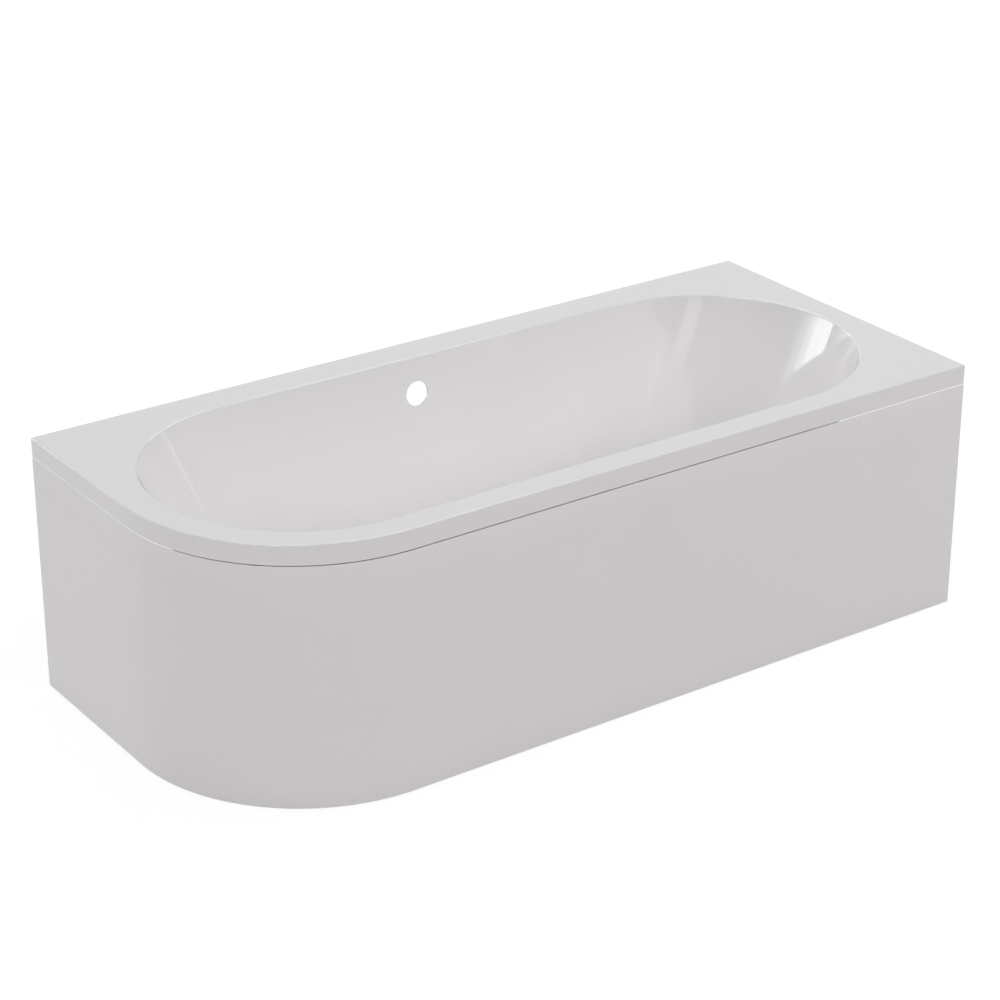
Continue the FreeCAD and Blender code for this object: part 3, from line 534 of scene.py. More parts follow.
@dataclass
class BasinSkin:
    """Closed wall of two basin faces, with real openings for the waste and the overflow.

    The rows go from the waste hole over the inner face, across the rim and back down the outer face to
    the hole, so the grid closes both ways. The overflow takes a patch of cells out of both walls, and a
    second grid joins the two patches through the hole.
    """

    inner: BasinFace
    outer: BasinFace
    waste_radius: float
    overflow_radius: float
    edge: float = 0.0008
    floor_shares: tuple[float, ...] = (0.1, 0.25, 0.45, 0.68, 0.88, 0.985)
    floor_steps: int = 20
    hole_low: float = 0.415
    hole_high: float = 0.499
    rows_below: int = 12
    rows_above: int = 5
    top_share: float = 0.993
    waste_steps: int = 4
    overflow_steps: int = 5
    inner_shares: Pair = (0.4, 0.8)
    outer_shares: Pair = (0.3, 0.65)

    def __post_init__(self) -> None:
        """Start with no rows."""
        self.rows: list[np.ndarray] = []
        self.count = 0

    def add(self, rows: np.ndarray) -> None:
        """Add rows of points."""
        self.rows.append(rows)
        self.count += len(rows)

    def wall_shares(self, face: BasinFace, top: float) -> tuple[np.ndarray, int]:
        """Shares of the wall rows, close together past the overflow.

        Args:
            face: the face whose wall this is.
            top: height at which the wall ends.

        Returns:
            The shares, and the number of rows below the overflow's patch.
        """
        foot = face.floor + face.radius * (1 - math.sin(face.form.side_draft))
        low, high = ((height - foot) / (top - foot) for height in (self.hole_low, self.hole_high))
        below = np.linspace(0, low, self.rows_below)[1:-1]
        patch = np.linspace(low, high, face.columns.hole_steps + 1)
        above = np.linspace(high, self.top_share, self.rows_above)[1:]
        return np.concatenate([below, patch, above]), len(below)

    def add_floor(self, face: BasinFace, upward: bool, hole_edge: Sequence[Pair]) -> None:
        """Floor rows from the hole to the wall's foot, or the same rows back.

        Args:
            face: the face whose floor this is.
            upward: whether the rows go from the hole to the wall.
            hole_edge: radius and height of the rows at the hole's own edge.
        """
        foot = face.floor_edge(self.floor_steps)
        radii, heights = zip(*hole_edge)
        rings = face.waste_rings(foot[0], radii, heights)
        flat = blend(rings[-1], foot[0], self.floor_shares)
        rows = np.concatenate([rings, flat, foot])
        self.add(rows if upward else rows[::-1])

    def add_inner(self, top: np.ndarray | float) -> None:
        """Inner face from the waste hole up the wall.

        Args:
            top: height at which the wall ends, for all columns or for each.
        """
        form, edge = self.inner.form, self.edge
        floor, radius = self.inner.floor, self.waste_radius
        turns = np.linspace(0, np.pi / 2, self.waste_steps)
        rounded = [(radius + edge * (1 - math.cos(turn)), floor - edge * (1 - math.sin(turn)))
                   for turn in turns]
        self.add_floor(self.inner, True, rounded + [(radius + 2 * edge, floor)])
        shares, below = self.wall_shares(self.inner, form.deck)
        self.inner_patch = self.count + below
        self.add(self.inner.walls(shares, top))

    def add_outer(self, top: float) -> None:
        """Outer face from the top of its wall down to the waste hole.

        Args:
            top: height at which the wall starts.
        """
        shares, below = self.wall_shares(self.outer, top)
        self.add(self.outer.walls(np.append(shares, 1.0), top)[::-1])
        self.outer_patch = self.count - below - 1
        floor, radius = self.outer.floor, self.waste_radius
        self.add_floor(self.outer, False, [(radius, floor + self.edge), (radius, floor)])

    def _loop(self, first_row: int, step: int) -> np.ndarray:
        """Vertex numbers round the overflow's patch, from its low corner on the first column.

        Args:
            first_row: row of the patch's lower side.
            step: 1 where the rows go up and -1 where they go down.

        Returns:
            The numbers, once round.
        """
        columns = self.inner.columns
        size = columns.hole_steps
        row = first_row + step * np.arange(size + 1)
        column = columns.hole_first + np.arange(size + 1)
        low, high = np.full(size, row[0]), np.full(size, row[-1])
        near, far = np.full(size, column[0]), np.full(size, column[-1])
        rows = np.concatenate([low, row[:-1], high, row[:0:-1]])
        places = np.concatenate([column[:-1], far, column[:0:-1], near])
        return rows * columns.count + places

    def build(self, name: str) -> bpy.types.Object:
        """Close the rows into one piece with its overflow hole.

        Args:
            name: the piece's name.

        Returns:
            The piece.
        """
        points = np.concatenate(self.rows)
        columns, size = self.inner.columns, self.inner.columns.hole_steps
        flat = points.reshape(-1, 3)
        index = numbered(len(points), columns.count)
        keep = np.ones(index.shape, bool)
        across = slice(columns.hole_first, columns.hole_first + size)
        keep[self.inner_patch:self.inner_patch + size, across] = False
        keep[self.outer_patch - size:self.outer_patch, across] = False
        faces = grid_quads(index, True, True)[keep].tolist()
        inner, outer = self._loop(self.inner_patch, 1), self._loop(self.outer_patch, -1)
        hole = self._overflow(flat[inner], flat[outer])
        ring = numbered(len(hole), len(inner), len(flat))
        tube = np.concatenate([inner[None], ring, outer[None]])
        faces += grid_quads(tube, False, True).reshape(-1, 4).tolist()
        return make_piece(name, np.concatenate([flat, hole.reshape(-1, 3)]), faces)

    def _overflow(self, inner: np.ndarray, outer: np.ndarray) -> np.ndarray:
        """Rows from the inner patch through the round hole to the outer patch.

        The patch closes evenly onto a circle in the wall, which turns over a small edge into the hole.

        Args:
            inner: places round the inner patch.
            outer: places round the outer patch.

        Returns:
            Places, rows by the places round the patch.
        """
        centre, along, up, outward = self.inner.overflow_frame()
        depth = self.outer.offset - self.inner.offset
        bearing = np.arctan2((inner - centre) @ up, (inner - centre) @ along)
        spoke = np.cos(bearing)[:, None] * along + np.sin(bearing)[:, None] * up
        radius, edge = self.overflow_radius, self.edge
        turns = np.linspace(0, np.pi / 2, self.overflow_steps)
        profile = [(radius + 2 * edge, 0.0)]
        profile += [(radius + edge * (1 - math.sin(turn)), edge * (1 - math.cos(turn))) for turn in turns]
        profile += [(radius, depth - edge / 2), (radius + edge / 2, depth), (radius + edge, depth)]
        rings = np.stack([centre + size * spoke + deep * outward for size, deep in profile])
        return np.concatenate([blend(inner, rings[0], self.inner_shares), rings,
                               blend(rings[-1], outer, self.outer_shares)])


# ---- finishes ----


class Sheet:
    """Node tree with short calls to add and join nodes."""

    COLOUR_INPUTS = (0, 6, 7)
    COLOUR_RESULT = 2

    def __init__(self, tree: bpy.types.NodeTree) -> None:
        """Keep the tree and empty it."""
        self.tree = tree
        tree.nodes.clear()

    def fill(self, socket: bpy.types.NodeSocket, value: Any) -> None:
        """Join an output to a socket, or set the socket to a value.

        Args:
            socket: the input that is filled.
            value: an output or a plain value.
        """
        if isinstance(value, bpy.types.NodeSocket):
            self.tree.links.new(value, socket)
        else:
            socket.default_value = value

    def add(self, kind: str, settings: dict[str, Any] | None = None, **inputs: Any) -> bpy.types.Node:
        """Add a node.

        Args:
            kind: type of the node, without its first words.
            settings: properties of the node.
            inputs: values or outputs for its sockets; an underscore stands for a blank.

        Returns:
            The node.
        """
        node = self.tree.nodes.new(f"ShaderNode{kind}")
        for name, value in (settings or {}).items():
            setattr(node, name, value)
        for name, value in inputs.items():
            self.fill(node.inputs[name.replace("_", " ")], value)
        return node

    def math(self, operation: str, *values: Any) -> bpy.types.NodeSocket:
        """Output of a sum.

        Args:
            operation: the kind of sum.
            values: its values or outputs, in order.

        Returns:
            The output.
        """
        node = self.add("Math", {"operation": operation})
        for socket, value in zip(node.inputs, values):
            self.fill(socket, value)
        return node.outputs[0]

    def mix(self, share: Any, first: Any, second: Any) -> bpy.types.NodeSocket:
        """Output of a colour between two colours.

        Args:
            share: how far it lies towards the second, as a value or an output.
            first: colour or output at share 0.
            second: colour or output at share 1.

        Returns:
            The output.
        """
        node = self.add("Mix", {"data_type": "RGBA"})
        for place, value in zip(self.COLOUR_INPUTS, (share, first, second)):
            self.fill(node.inputs[place], (*value, 1.0) if isinstance(value, tuple) else value)
        return node.outputs[self.COLOUR_RESULT]

    def spread(self, value: Any, span: Pair, onto: tuple[Any, Any]) -> bpy.types.NodeSocket:
        """Output of a value carried from one range to another, and kept inside it.

        Args:
            value: a value or an output.
            span: the range that it comes from.
            onto: the range that it goes to, as values or outputs.

        Returns:
            The output.
        """
        node = self.add("MapRange", Value=value, From_Min=span[0], From_Max=span[1])
        self.fill(node.inputs["To Min"], onto[0])
        self.fill(node.inputs["To Max"], onto[1])
        return node.outputs[0]

    def bent(self, vector: Any, by: Any, share: float) -> bpy.types.NodeSocket:
        """Output of coordinates with a share of another output added to them."""
        node = self.add("MixRGB", {"blend_type": "ADD"}, Fac=share, Color1=vector, Color2=by)
        return node.outputs[0]


class Socket(Enum):
    """Kinds of socket that a shared effect has."""

    VALUE = "NodeSocketFloat"
    VECTOR = "NodeSocketVector"


class Effect:
    """Shader node group that several finishes place with their own values."""

    def __init__(self, name: str, inputs: dict[str, float | None], outputs: Sequence[str]) -> None:
        """Make the group and its named sockets.

        Args:
            name: the group's name.
            inputs: name of each input and its value, or None for coordinates.
            outputs: name of each output.
        """
        self.group = bpy.data.node_groups.new(name, "ShaderNodeTree")
        for label, value in inputs.items():
            kind = Socket.VECTOR if value is None else Socket.VALUE
            socket = self.group.interface.new_socket(label, in_out="INPUT", socket_type=kind.value)
            if value is not None:
                socket.default_value = value
        for label in outputs:
            self.group.interface.new_socket(label, in_out="OUTPUT", socket_type=Socket.VALUE.value)
        self.sheet = Sheet(self.group)
        self.entry = self.group.nodes.new("NodeGroupInput")
        self.exit = self.group.nodes.new("NodeGroupOutput")

    def take(self, label: str) -> bpy.types.NodeSocket:
        """Output that carries one of the group's inputs."""
        return self.entry.outputs[label]

    def stretched(self, stretch: Triple) -> bpy.types.NodeSocket:
        """Output of the group's coordinates, stretched."""
        return self.sheet.add("Mapping", Vector=self.take("Vector"), Scale=stretch).outputs[0]

    def give(self, label: str, output: bpy.types.NodeSocket) -> None:
        """Send an output out of the group."""
        self.group.links.new(output, self.exit.inputs[label])

    def place(self, sheet: Sheet, **inputs: Any) -> bpy.types.Node:
        """Put the group into a finish."""
        return sheet.add("Group", {"node_tree": self.group}, **inputs)


@dataclass
class Effects:
    """The shared effects, each built once, with the sizes of their patterns."""

    cloud_start: Pair = (5.0, 3.0)
    cloud_band: Pair = (0.3, 0.7)
    strand_ways: tuple[Triple, ...] = (
        (0.4, 0.35, 0.15), (0.9, -0.85, 0.3), (0.2, 1.25, -0.25), (1.6, 0.3, 1.35), (0.7, -0.6, 1.8),
        (1.1, 0.05, 0.8))
    strand_size: Triple = (0.05, 0.0024, 0.0024)
    strand_waver: float = 0.15
    strand_band: Pair = (0.55, 0.68)
    strand_height: float = 0.5
    lump_scale: float = 60.0
    ring_stretch: Triple = (1.3, 26.0, 26.0)
    ring_scale: float = 1.6
    ring_waver: float = 1.5
    ring_bend: Pair = (1.1, 0.9)
    fibre_stretch: Triple = (9.0, 900.0, 900.0)
    flake_stretch: Triple = (1.0, 1.7, 2.6)
    flake_scales: Pair = (120.0, 420.0)
    flake_share: float = 0.4
    flake_band: Pair = (0.25, 0.75)
    crystal_scale: float = 90.0
    crystal_bend: Pair = (140.0, 0.006)
    frost_scale: float = 700.0

    def __post_init__(self) -> None:
        """Build every group."""
        self.mottle = self._mottle()
        self.strands = self._strands()
        self.grain = self._grain()
        self.flakes = self._flakes()
        self.spangle = self._spangle()

    def cloud(self, sheet: Sheet, vector: Any, pattern: Pair, onto: Pair = UNIT) -> bpy.types.NodeSocket:
        """Put the cloudy variation into a finish.

        Args:
            sheet: the finish's nodes.
            vector: the piece's coordinates.
            pattern: scale and detail of the variation.
            onto: the range that it is carried to.

        Returns:
            Its output.
        """
        (scale, detail), (low, high) = pattern, onto
        node = self.mottle.place(sheet, Vector=vector, Scale=scale, Detail=detail, Low=low, High=high)
        return node.outputs[0]

    def _mottle(self) -> Effect:
        """Soft cloudy variation, carried to a range.

        Returns:
            The effect.
        """
        scale, detail = self.cloud_start
        inputs = {"Vector": None, "Scale": scale, "Detail": detail, "Low": 0.0, "High": 1.0}
        effect = Effect("cloudy_variation", inputs, ("Value",))
        noise = effect.sheet.add("TexNoise", Vector=effect.take("Vector"), Scale=effect.take("Scale"),
                                 Detail=effect.take("Detail"))
        onto = (effect.take("Low"), effect.take("High"))
        effect.give("Value", effect.sheet.spread(noise.outputs[0], self.cloud_band, onto))
        return effect

    def _strands(self) -> Effect:
        """Chopped strands that lie in several directions, one over another.

        Returns:
            The effect.
        """
        effect = Effect("chopped_strands", {"Vector": None, "Scale": 1.0}, ("Strand", "Height"))
        sheet = effect.sheet
        scaled = sheet.add("VectorMath", {"operation": "SCALE"}, Vector=effect.take("Vector"),
                           Scale=effect.take("Scale")).outputs[0]
        top = None
        for way in self.strand_ways:
            laid = sheet.add("Mapping", {"vector_type": "TEXTURE"}, Vector=scaled, Rotation=way,
                             Scale=self.strand_size)
            noise = sheet.add("TexNoise", Vector=laid.outputs[0], Scale=1.0, Detail=1.0,
                              Distortion=self.strand_waver)
            strand = sheet.spread(noise.outputs[0], self.strand_band, UNIT)
            top = strand if top is None else sheet.math("MAXIMUM", top, strand)
        lumps = sheet.add("TexNoise", Vector=scaled, Scale=self.lump_scale, Detail=2.0)
        effect.give("Strand", top)
        effect.give("Height", sheet.math("MULTIPLY_ADD", top, self.strand_height, lumps.outputs[0]))
        return effect

    def _grain(self) -> Effect:
        """Sawn softwood: rings cut along the strip, with fine fibres between them.

        Returns:
            The effect.
        """
        effect = Effect("sawn_grain", {"Vector": None}, ("Ring", "Fibre", "Height"))
        sheet = effect.sheet
        drawn = effect.stretched(self.ring_stretch)
        scale, share = self.ring_bend
        bend = sheet.add("TexNoise", Vector=drawn, Scale=scale, Detail=2.0)
        ring = sheet.add("TexWave", {"bands_direction": "Y", "wave_profile": "SAW"},
                         Vector=sheet.bent(drawn, bend.outputs[1], share), Scale=self.ring_scale,
                         Distortion=self.ring_waver, Detail=2.0)
        fibre = sheet.add("TexNoise", Vector=effect.stretched(self.fibre_stretch), Scale=1.0, Detail=3.0)
        effect.give("Ring", ring.outputs[1])
        effect.give("Fibre", fibre.outputs[0])
        effect.give("Height", sheet.math("ADD", ring.outputs[1], fibre.outputs[0]))
        return effect

    def _flakes(self) -> Effect:
        """Pressed wood flakes, coarse ones over fine ones.

        Returns:
            The effect.
        """
        effect = Effect("pressed_flakes", {"Vector": None}, ("Tone", "Height"))
        sheet = effect.sheet
        drawn = effect.stretched(self.flake_stretch)
        large, small = self.flake_scales
        coarse = sheet.add("TexVoronoi", Vector=drawn, Scale=large, Randomness=1.0)
        fine = sheet.add("TexVoronoi", Vector=effect.take("Vector"), Scale=small, Randomness=1.0)
        tones = sheet.mix(self.flake_share, coarse.outputs[1], fine.outputs[1])
        grey = sheet.add("RGBToBW", Color=tones).outputs[0]
        effect.give("Tone", sheet.spread(grey, self.flake_band, UNIT))
        effect.give("Height", sheet.math("ADD", coarse.outputs[0], fine.outputs[0]))
        return effect

    def _spangle(self) -> Effect:
        """Zinc crystals, each with its own tone.

        Returns:
            The effect.
        """
        effect = Effect("zinc_spangle", {"Vector": None, "Scale": self.crystal_scale}, ("Tone", "Frost"))
        sheet, vector = effect.sheet, effect.take("Vector")
        scale, share = self.crystal_bend
        bend = sheet.add("TexNoise", Vector=vector, Scale=scale, Detail=2.0)
        cell = sheet.add("TexVoronoi", Vector=sheet.bent(vector, bend.outputs[1], share),
                         Scale=effect.take("Scale"), Randomness=1.0)
        effect.give("Tone", sheet.add("RGBToBW", Color=cell.outputs[1]).outputs[0])
        frost = sheet.add("TexNoise", Vector=vector, Scale=self.frost_scale, Detail=3.0)
        effect.give("Frost", frost.outputs[0])
        return effect


class Grain(Enum):
    """Way that the grain of a timber piece runs, as its turn about the vertical."""

    ALONG_X = 0.0
    ALONG_Y = math.pi / 2
    ACROSS_CORNER = math.pi / 4


@dataclass(frozen=True)
class Finish:
    """What every finish shares: a name, the depth and strength of its relief, and how its material starts."""

    name: str
    relief: Pair

    def start(self) -> tuple[bpy.types.Material, Sheet, bpy.types.Node, bpy.types.NodeSocket]:
        """Begin the material.

        Returns:
            The material, its nodes, its shader and the piece's own coordinates.
        """
        material = bpy.data.materials.new(self.name)
        material.use_nodes = True
        sheet = Sheet(material.node_tree)
        shader = sheet.add("BsdfPrincipled")
        sheet.add("OutputMaterial", Surface=shader.outputs[0])
        return material, sheet, shader, sheet.add("TexCoord").outputs["Object"]

    def dress(self, sheet: Sheet, shader: bpy.types.Node, colour: Any, roughness: Any, height: Any) -> None:
        """Send what changes over the surface to the shader.

        Args:
            sheet: the material's nodes.
            shader: its shader.
            colour: output of the colour.
            roughness: output of the roughness.
            height: output of the relief's height.
        """
        depth, strength = self.relief
        relief = sheet.add("Bump", Strength=strength, Distance=depth, Height=height)
        for socket, output in (("Base Color", colour), ("Roughness", roughness), ("Normal", relief.outputs[0])):
            sheet.fill(shader.inputs[socket], output)


@dataclass(frozen=True)
class AcrylicFinish(Finish):
    """Formed white acrylic sheet: high gloss, with a trace of orange peel from forming."""

    relief: Pair = (0.0001, 0.04)
    colour: Colour = (0.882, 0.865, 0.877)
    shade: Colour = (0.869, 0.853, 0.865)
    roughness: Pair = (0.05, 0.085)
    ior: float = 1.49
    specular: float = 0.8
    shading: Pair = (4.0, 2.0)
    gloss: Pair = (11.0, 4.0)
    peel: Pair = (120.0, 1.0)

    def build(self, effects: Effects) -> bpy.types.Material:
        """Build the material.

        Args:
            effects: the effects that the finishes share.

        Returns:
            The material.
        """
        material, sheet, shader, place = self.start()
        colour = sheet.mix(effects.cloud(sheet, place, self.shading), self.colour, self.shade)
        gloss = effects.cloud(sheet, place, self.gloss, self.roughness)
        shader.inputs["IOR"].default_value = self.ior
        shader.inputs["Specular IOR Level"].default_value = self.specular
        self.dress(sheet, shader, colour, gloss, effects.cloud(sheet, place, self.peel))
        return material


@dataclass(frozen=True)
class LaminateFinish(Finish):
    """Sprayed glass fibre in resin: pale strands in a yellow-green binder."""

    relief: Pair = (0.0012, 0.55)
    resin: Colour = (0.50, 0.49, 0.39)
    strand: Colour = (0.74, 0.74, 0.68)
    roughness: Pair = (0.32, 0.55)
    bloom: Pair = (7.0, 4.0)
    bloom_share: Pair = (0.0, 0.35)

    def build(self, effects: Effects) -> bpy.types.Material:
        """Build the material.

        Args:
            effects: the effects that the finishes share.

        Returns:
            The material.
        """
        material, sheet, shader, place = self.start()
        mat = effects.strands.place(sheet, Vector=place, Scale=1.0)
        bloom = effects.cloud(sheet, place, self.bloom, self.bloom_share)
        fibre = sheet.mix(mat.outputs["Strand"], self.resin, self.strand)
        gloss = sheet.spread(mat.outputs["Strand"], UNIT, self.roughness)
        self.dress(sheet, shader, sheet.mix(bloom, fibre, self.strand), gloss, mat.outputs["Height"])
        return material


@dataclass(frozen=True)
class TimberFinish(Finish):
    """Sawn softwood, planed but not painted."""

    relief: Pair = (0.0004, 0.35)
    grain: Grain = Grain.ALONG_X
    early: Colour = (0.66, 0.47, 0.28)
    late: Colour = (0.47, 0.28, 0.13)
    roughness: Pair = (0.55, 0.78)
    ring_band: Pair = (0.25, 1.0)
    ring_share: Pair = (0.0, 0.75)
    fibre_band: Pair = (0.3, 0.7)
    fibre_share: Pair = (0.0, 0.35)

    def build(self, effects: Effects) -> bpy.types.Material:
        """Build the material.

        Args:
            effects: the effects that the finishes share.

        Returns:
            The material.
        """
        material, sheet, shader, place = self.start()
        laid = sheet.add("Mapping", Vector=place, Rotation=(0.0, 0.0, self.grain.value)).outputs[0]
        wood = effects.grain.place(sheet, Vector=laid)
        ring = sheet.spread(wood.outputs["Ring"], self.ring_band, self.ring_share)
        fibre = sheet.spread(wood.outputs["Fibre"], self.fibre_band, self.fibre_share)
        tone = sheet.mix(fibre, sheet.mix(ring, self.early, self.late), self.early)
        gloss = sheet.spread(wood.outputs["Fibre"], self.fibre_band, self.roughness)
        self.dress(sheet, shader, tone, gloss, wood.outputs["Height"])
        return material


@dataclass(frozen=True)
class ChipboardFinish(Finish):
    """Pressed wood flakes with a sanded face."""

    relief: Pair = (0.0005, 0.3)
    light: Colour = (0.62, 0.46, 0.28)
    dark: Colour = (0.33, 0.21, 0.11)
    roughness: Pair = (0.82, 0.66)

    def build(self, effects: Effects) -> bpy.types.Material:
        """Build the material.

        Args:
            effects: the effects that the finishes share.

        Returns:
            The material.
        """
        material, sheet, shader, place = self.start()
        flakes = effects.flakes.place(sheet, Vector=place)
        tone = sheet.mix(flakes.outputs["Tone"], self.dark, self.light)
        gloss = sheet.spread(flakes.outputs["Tone"], UNIT, self.roughness)
        self.dress(sheet, shader, tone, gloss, flakes.outputs["Height"])
        return material


@dataclass(frozen=True)
class ZincFinish(Finish):
    """Zinc over steel, hot-dipped with crystals or thinly plated, by the size of its pattern."""

    relief: Pair = (0.0002, 0.2)
    dark: Colour = (0.40, 0.42, 0.44)
    light: Colour = (0.62, 0.64, 0.66)
    pattern: float = 90.0
    roughness: Pair = (0.30, 0.52)
    frost_band: Pair = (0.1, 0.5)

    def build(self, effects: Effects) -> bpy.types.Material:
        """Build the material.

        Args:
            effects: the effects that the finishes share.

        Returns:
            The material.
        """
        material, sheet, shader, place = self.start()
        zinc = effects.spangle.place(sheet, Vector=place, Scale=self.pattern)
        tone, frost = zinc.outputs["Tone"], zinc.outputs["Frost"]
        gloss = sheet.spread(sheet.math("MULTIPLY", tone, frost), self.frost_band, self.roughness)
        shader.inputs["Metallic"].default_value = 1.0
        self.dress(sheet, shader, sheet.mix(tone, self.dark, self.light), gloss, frost)
        return material


@dataclass(frozen=True)
class MouldedFinish(Finish):
    """Moulded plastic with the fine grain of its tool."""

    relief: Pair = (0.0001, 0.4)
    colour: Colour = (0.030, 0.030, 0.033)
    scuffed: Colour = (0.070, 0.070, 0.074)
    roughness: Pair = (0.42, 0.6)
    scuff: Pair = (55.0, 5.0)
    gloss: Pair = (120.0, 4.0)
    tool: Pair = (1400.0, 2.0)

    def build(self, effects: Effects) -> bpy.types.Material:
        """Build the material.

        Args:
            effects: the effects that the finishes share.

        Returns:
            The material.
        """
        material, sheet, shader, place = self.start()
        tone = sheet.mix(effects.cloud(sheet, place, self.scuff), self.colour, self.scuffed)
        gloss = effects.cloud(sheet, place, self.gloss, self.roughness)
        self.dress(sheet, shader, tone, gloss, effects.cloud(sheet, place, self.tool))
        return material


class Finishes:
    """Every material of the bath, each built once."""

    def __init__(self) -> None:
        """Build the materials."""
        effects = Effects()
        self.acrylic = AcrylicFinish("white_acrylic").build(effects)
        self.laminate = LaminateFinish("glass_fibre_laminate").build(effects)
        self.chipboard = ChipboardFinish("sanded_chipboard").build(effects)
        self.galvanised = ZincFinish("galvanised_sheet").build(effects)
        self.plated = ZincFinish("zinc_plate", dark=(0.56, 0.57, 0.57), light=(0.72, 0.72, 0.70), pattern=320.0,
                                 roughness=(0.20, 0.38)).build(effects)
        self.spring = ZincFinish("sprung_strip", dark=(0.26, 0.27, 0.29), light=(0.34, 0.35, 0.37),
                                 pattern=500.0, roughness=(0.26, 0.40)).build(effects)
        self.plastic = MouldedFinish("moulded_plastic").build(effects)
        self.timber = {way: TimberFinish(f"softwood_{way.name.lower()}", grain=way).build(effects)
                       for way in Grain}


# ---- pieces ----


def settle(piece: bpy.types.Object, material: bpy.types.Material, body: str, slot: str, *nodes: str) -> None:
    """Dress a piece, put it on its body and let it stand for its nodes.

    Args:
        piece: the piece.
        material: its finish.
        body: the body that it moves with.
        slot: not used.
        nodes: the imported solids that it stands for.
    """
    piece.data.materials.append(material)
    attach(piece, body)
    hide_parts(*nodes)
    LOG.info("%s: %d faces on %s", piece.name, len(piece.data.polygons), body)


def dress_node(node: str, material: bpy.types.Material) -> None:
    """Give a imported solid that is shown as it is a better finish.

    Args:
        node: the solid's node.
        material: its finish.
    """
    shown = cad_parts[node]
    if not shown.material_slots:
        shown.data.materials.append(material)
    for place in shown.material_slots:
        place.material = material
    LOG.info("%s: kept, with %s", node, material.name)


@dataclass
class Shell:
    """Acrylic forming: basin, flat deck and rim lip of one thickness."""

    form: BasinForm
    columns: Columns
    wall: float = 0.005
    rim_radius: float = 0.004
    deck_radius: float = 0.003
    lip_bottom: float = 0.494
    lip_edge: float = 0.0008
    support: float = 0.0007
    edge_steps: int = 9
    lip_steps: int = 5
    face_margin: float = 0.012
    inside_rise: float = 0.015
    deck_shares: tuple[float, ...] = (0.2, 0.4, 0.6, 0.8)
    under_shares: tuple[float, ...] = (0.15, 0.5, 0.85)

    def ring(self, inset: float, height: float) -> np.ndarray:
        """Row of points on the outline.

        Args:
            inset: distance inward from the outline.
            height: height of the row.

        Returns:
            One place for each column.
        """
        columns = self.columns
        flat = columns.outline.points(columns.run, columns.share, inset)
        return np.concatenate([flat, np.full((columns.count, 1), height)], axis=-1)

    def deck_rows(self, rim: np.ndarray) -> np.ndarray:
        """Flat deck from the basin's rounded edge to the outline, then its rounded edge and the lip.

        Both edges are quarter circles. Close rows beside them keep the flat faces flat.

        Args:
            rim: last row of the basin's rounded edge.

        Returns:
            Places, rows by columns.
        """
        deck, radius, edge = self.form.deck, self.deck_radius, self.lip_edge
        outer = self.ring(radius, deck)
        across = np.linalg.norm(outer - rim, axis=-1, keepdims=True)
        near = rim + (outer - rim) * self.support / across
        far = self.ring(radius + self.support, deck)
        turns = np.linspace(0, np.pi / 2, self.edge_steps)
        rounded = [self.ring(radius * (1 - math.sin(turn)), deck - radius * (1 - math.cos(turn)))
                   for turn in turns]
        low, wall, margin = self.lip_bottom, self.wall, self.face_margin
        levels = (deck - radius - self.support, deck - margin, low + margin, low + edge + self.support)
        face = [self.ring(0, height) for height in levels]
        under = [self.ring(edge * (1 - math.cos(turn)), low + edge * (1 - math.sin(turn)))
                 for turn in np.linspace(0, np.pi / 2, self.lip_steps)]
        inner = [self.ring(wall - edge, low), self.ring(wall, low + edge),
                 self.ring(wall, low + self.inside_rise), self.ring(wall, deck - wall - edge),
                 self.ring(wall + edge, deck - wall)]
        return np.concatenate([near[None], blend(near, far, self.deck_shares), far[None],
                               np.stack(rounded + face + under + inner)])

    def build(self, finishes: Finishes) -> None:
        """Build the forming as one closed surface and dress it.

        Args:
            finishes: the materials.
        """
        inner = BasinFace(self.form, self.columns, 0.0)
        outer = BasinFace(self.form, self.columns, self.wall)
        skin = BasinSkin(inner, outer, self.form.waste_radius, self.form.overflow_radius)
        rim = inner.rim_edge(self.rim_radius, self.edge_steps)
        skin.add_inner(rim[0][:, 2])
        skin.add(rim)
        lip = self.deck_rows(rim[-1])
        skin.add(lip)
        under = outer.wall(self.form.deck - self.wall)
        skin.add(blend(lip[-1], under, self.under_shares))
        skin.add_outer(self.form.deck - self.wall)
        settle(skin.build("shell_forming"), finishes.acrylic, "tub", "acrylic", "bath_shell")


@dataclass
class Backing:
    """Glass-fibre layer sprayed on the outside of the basin."""

    form: BasinForm
    columns: Columns
    inner_offset: float = 0.00545
    outer_offset: float = 0.00845
    top: float = 0.52855
    hole_clearance: float = 0.006
    lump: float = 0.0005
    lump_pitch: float = 0.055
    floor_fade: float = 0.03
    top_fade: float = 0.02

    def build(self, finishes: Finishes) -> None:
        """Build the layer and dress it.

        Its outer wall is moved along its normal by an uneven height that fades out at the floor and the top.

        Args:
            finishes: the materials.
        """
        inner = BasinFace(self.form, self.columns, self.inner_offset)
        outer = BasinFace(self.form, self.columns, self.outer_offset)
        waste, overflow = self.form.waste_radius, self.form.overflow_radius
        skin = BasinSkin(inner, outer, waste + self.hole_clearance, overflow + self.hole_clearance)
        skin.add_inner(self.top)
        skin.add(np.stack([inner.wall(self.top), outer.wall(self.top)]))
        skin.add_outer(self.top)
        for rows in skin.rows[-2:]:
            from_floor = np.clip((rows[..., 2] - outer.floor) / self.floor_fade, 0, 1)
            from_top = np.clip((self.top - rows[..., 2]) / self.top_fade, 0, 1)
            height = self.lump * (from_floor * from_top) * ripple(rows, self.lump_pitch)
            rows += height[..., None] * outer.normal
        settle(skin.build("basin_laminate"), finishes.laminate, "tub", "glass_fibre", "fibreglass_backing")


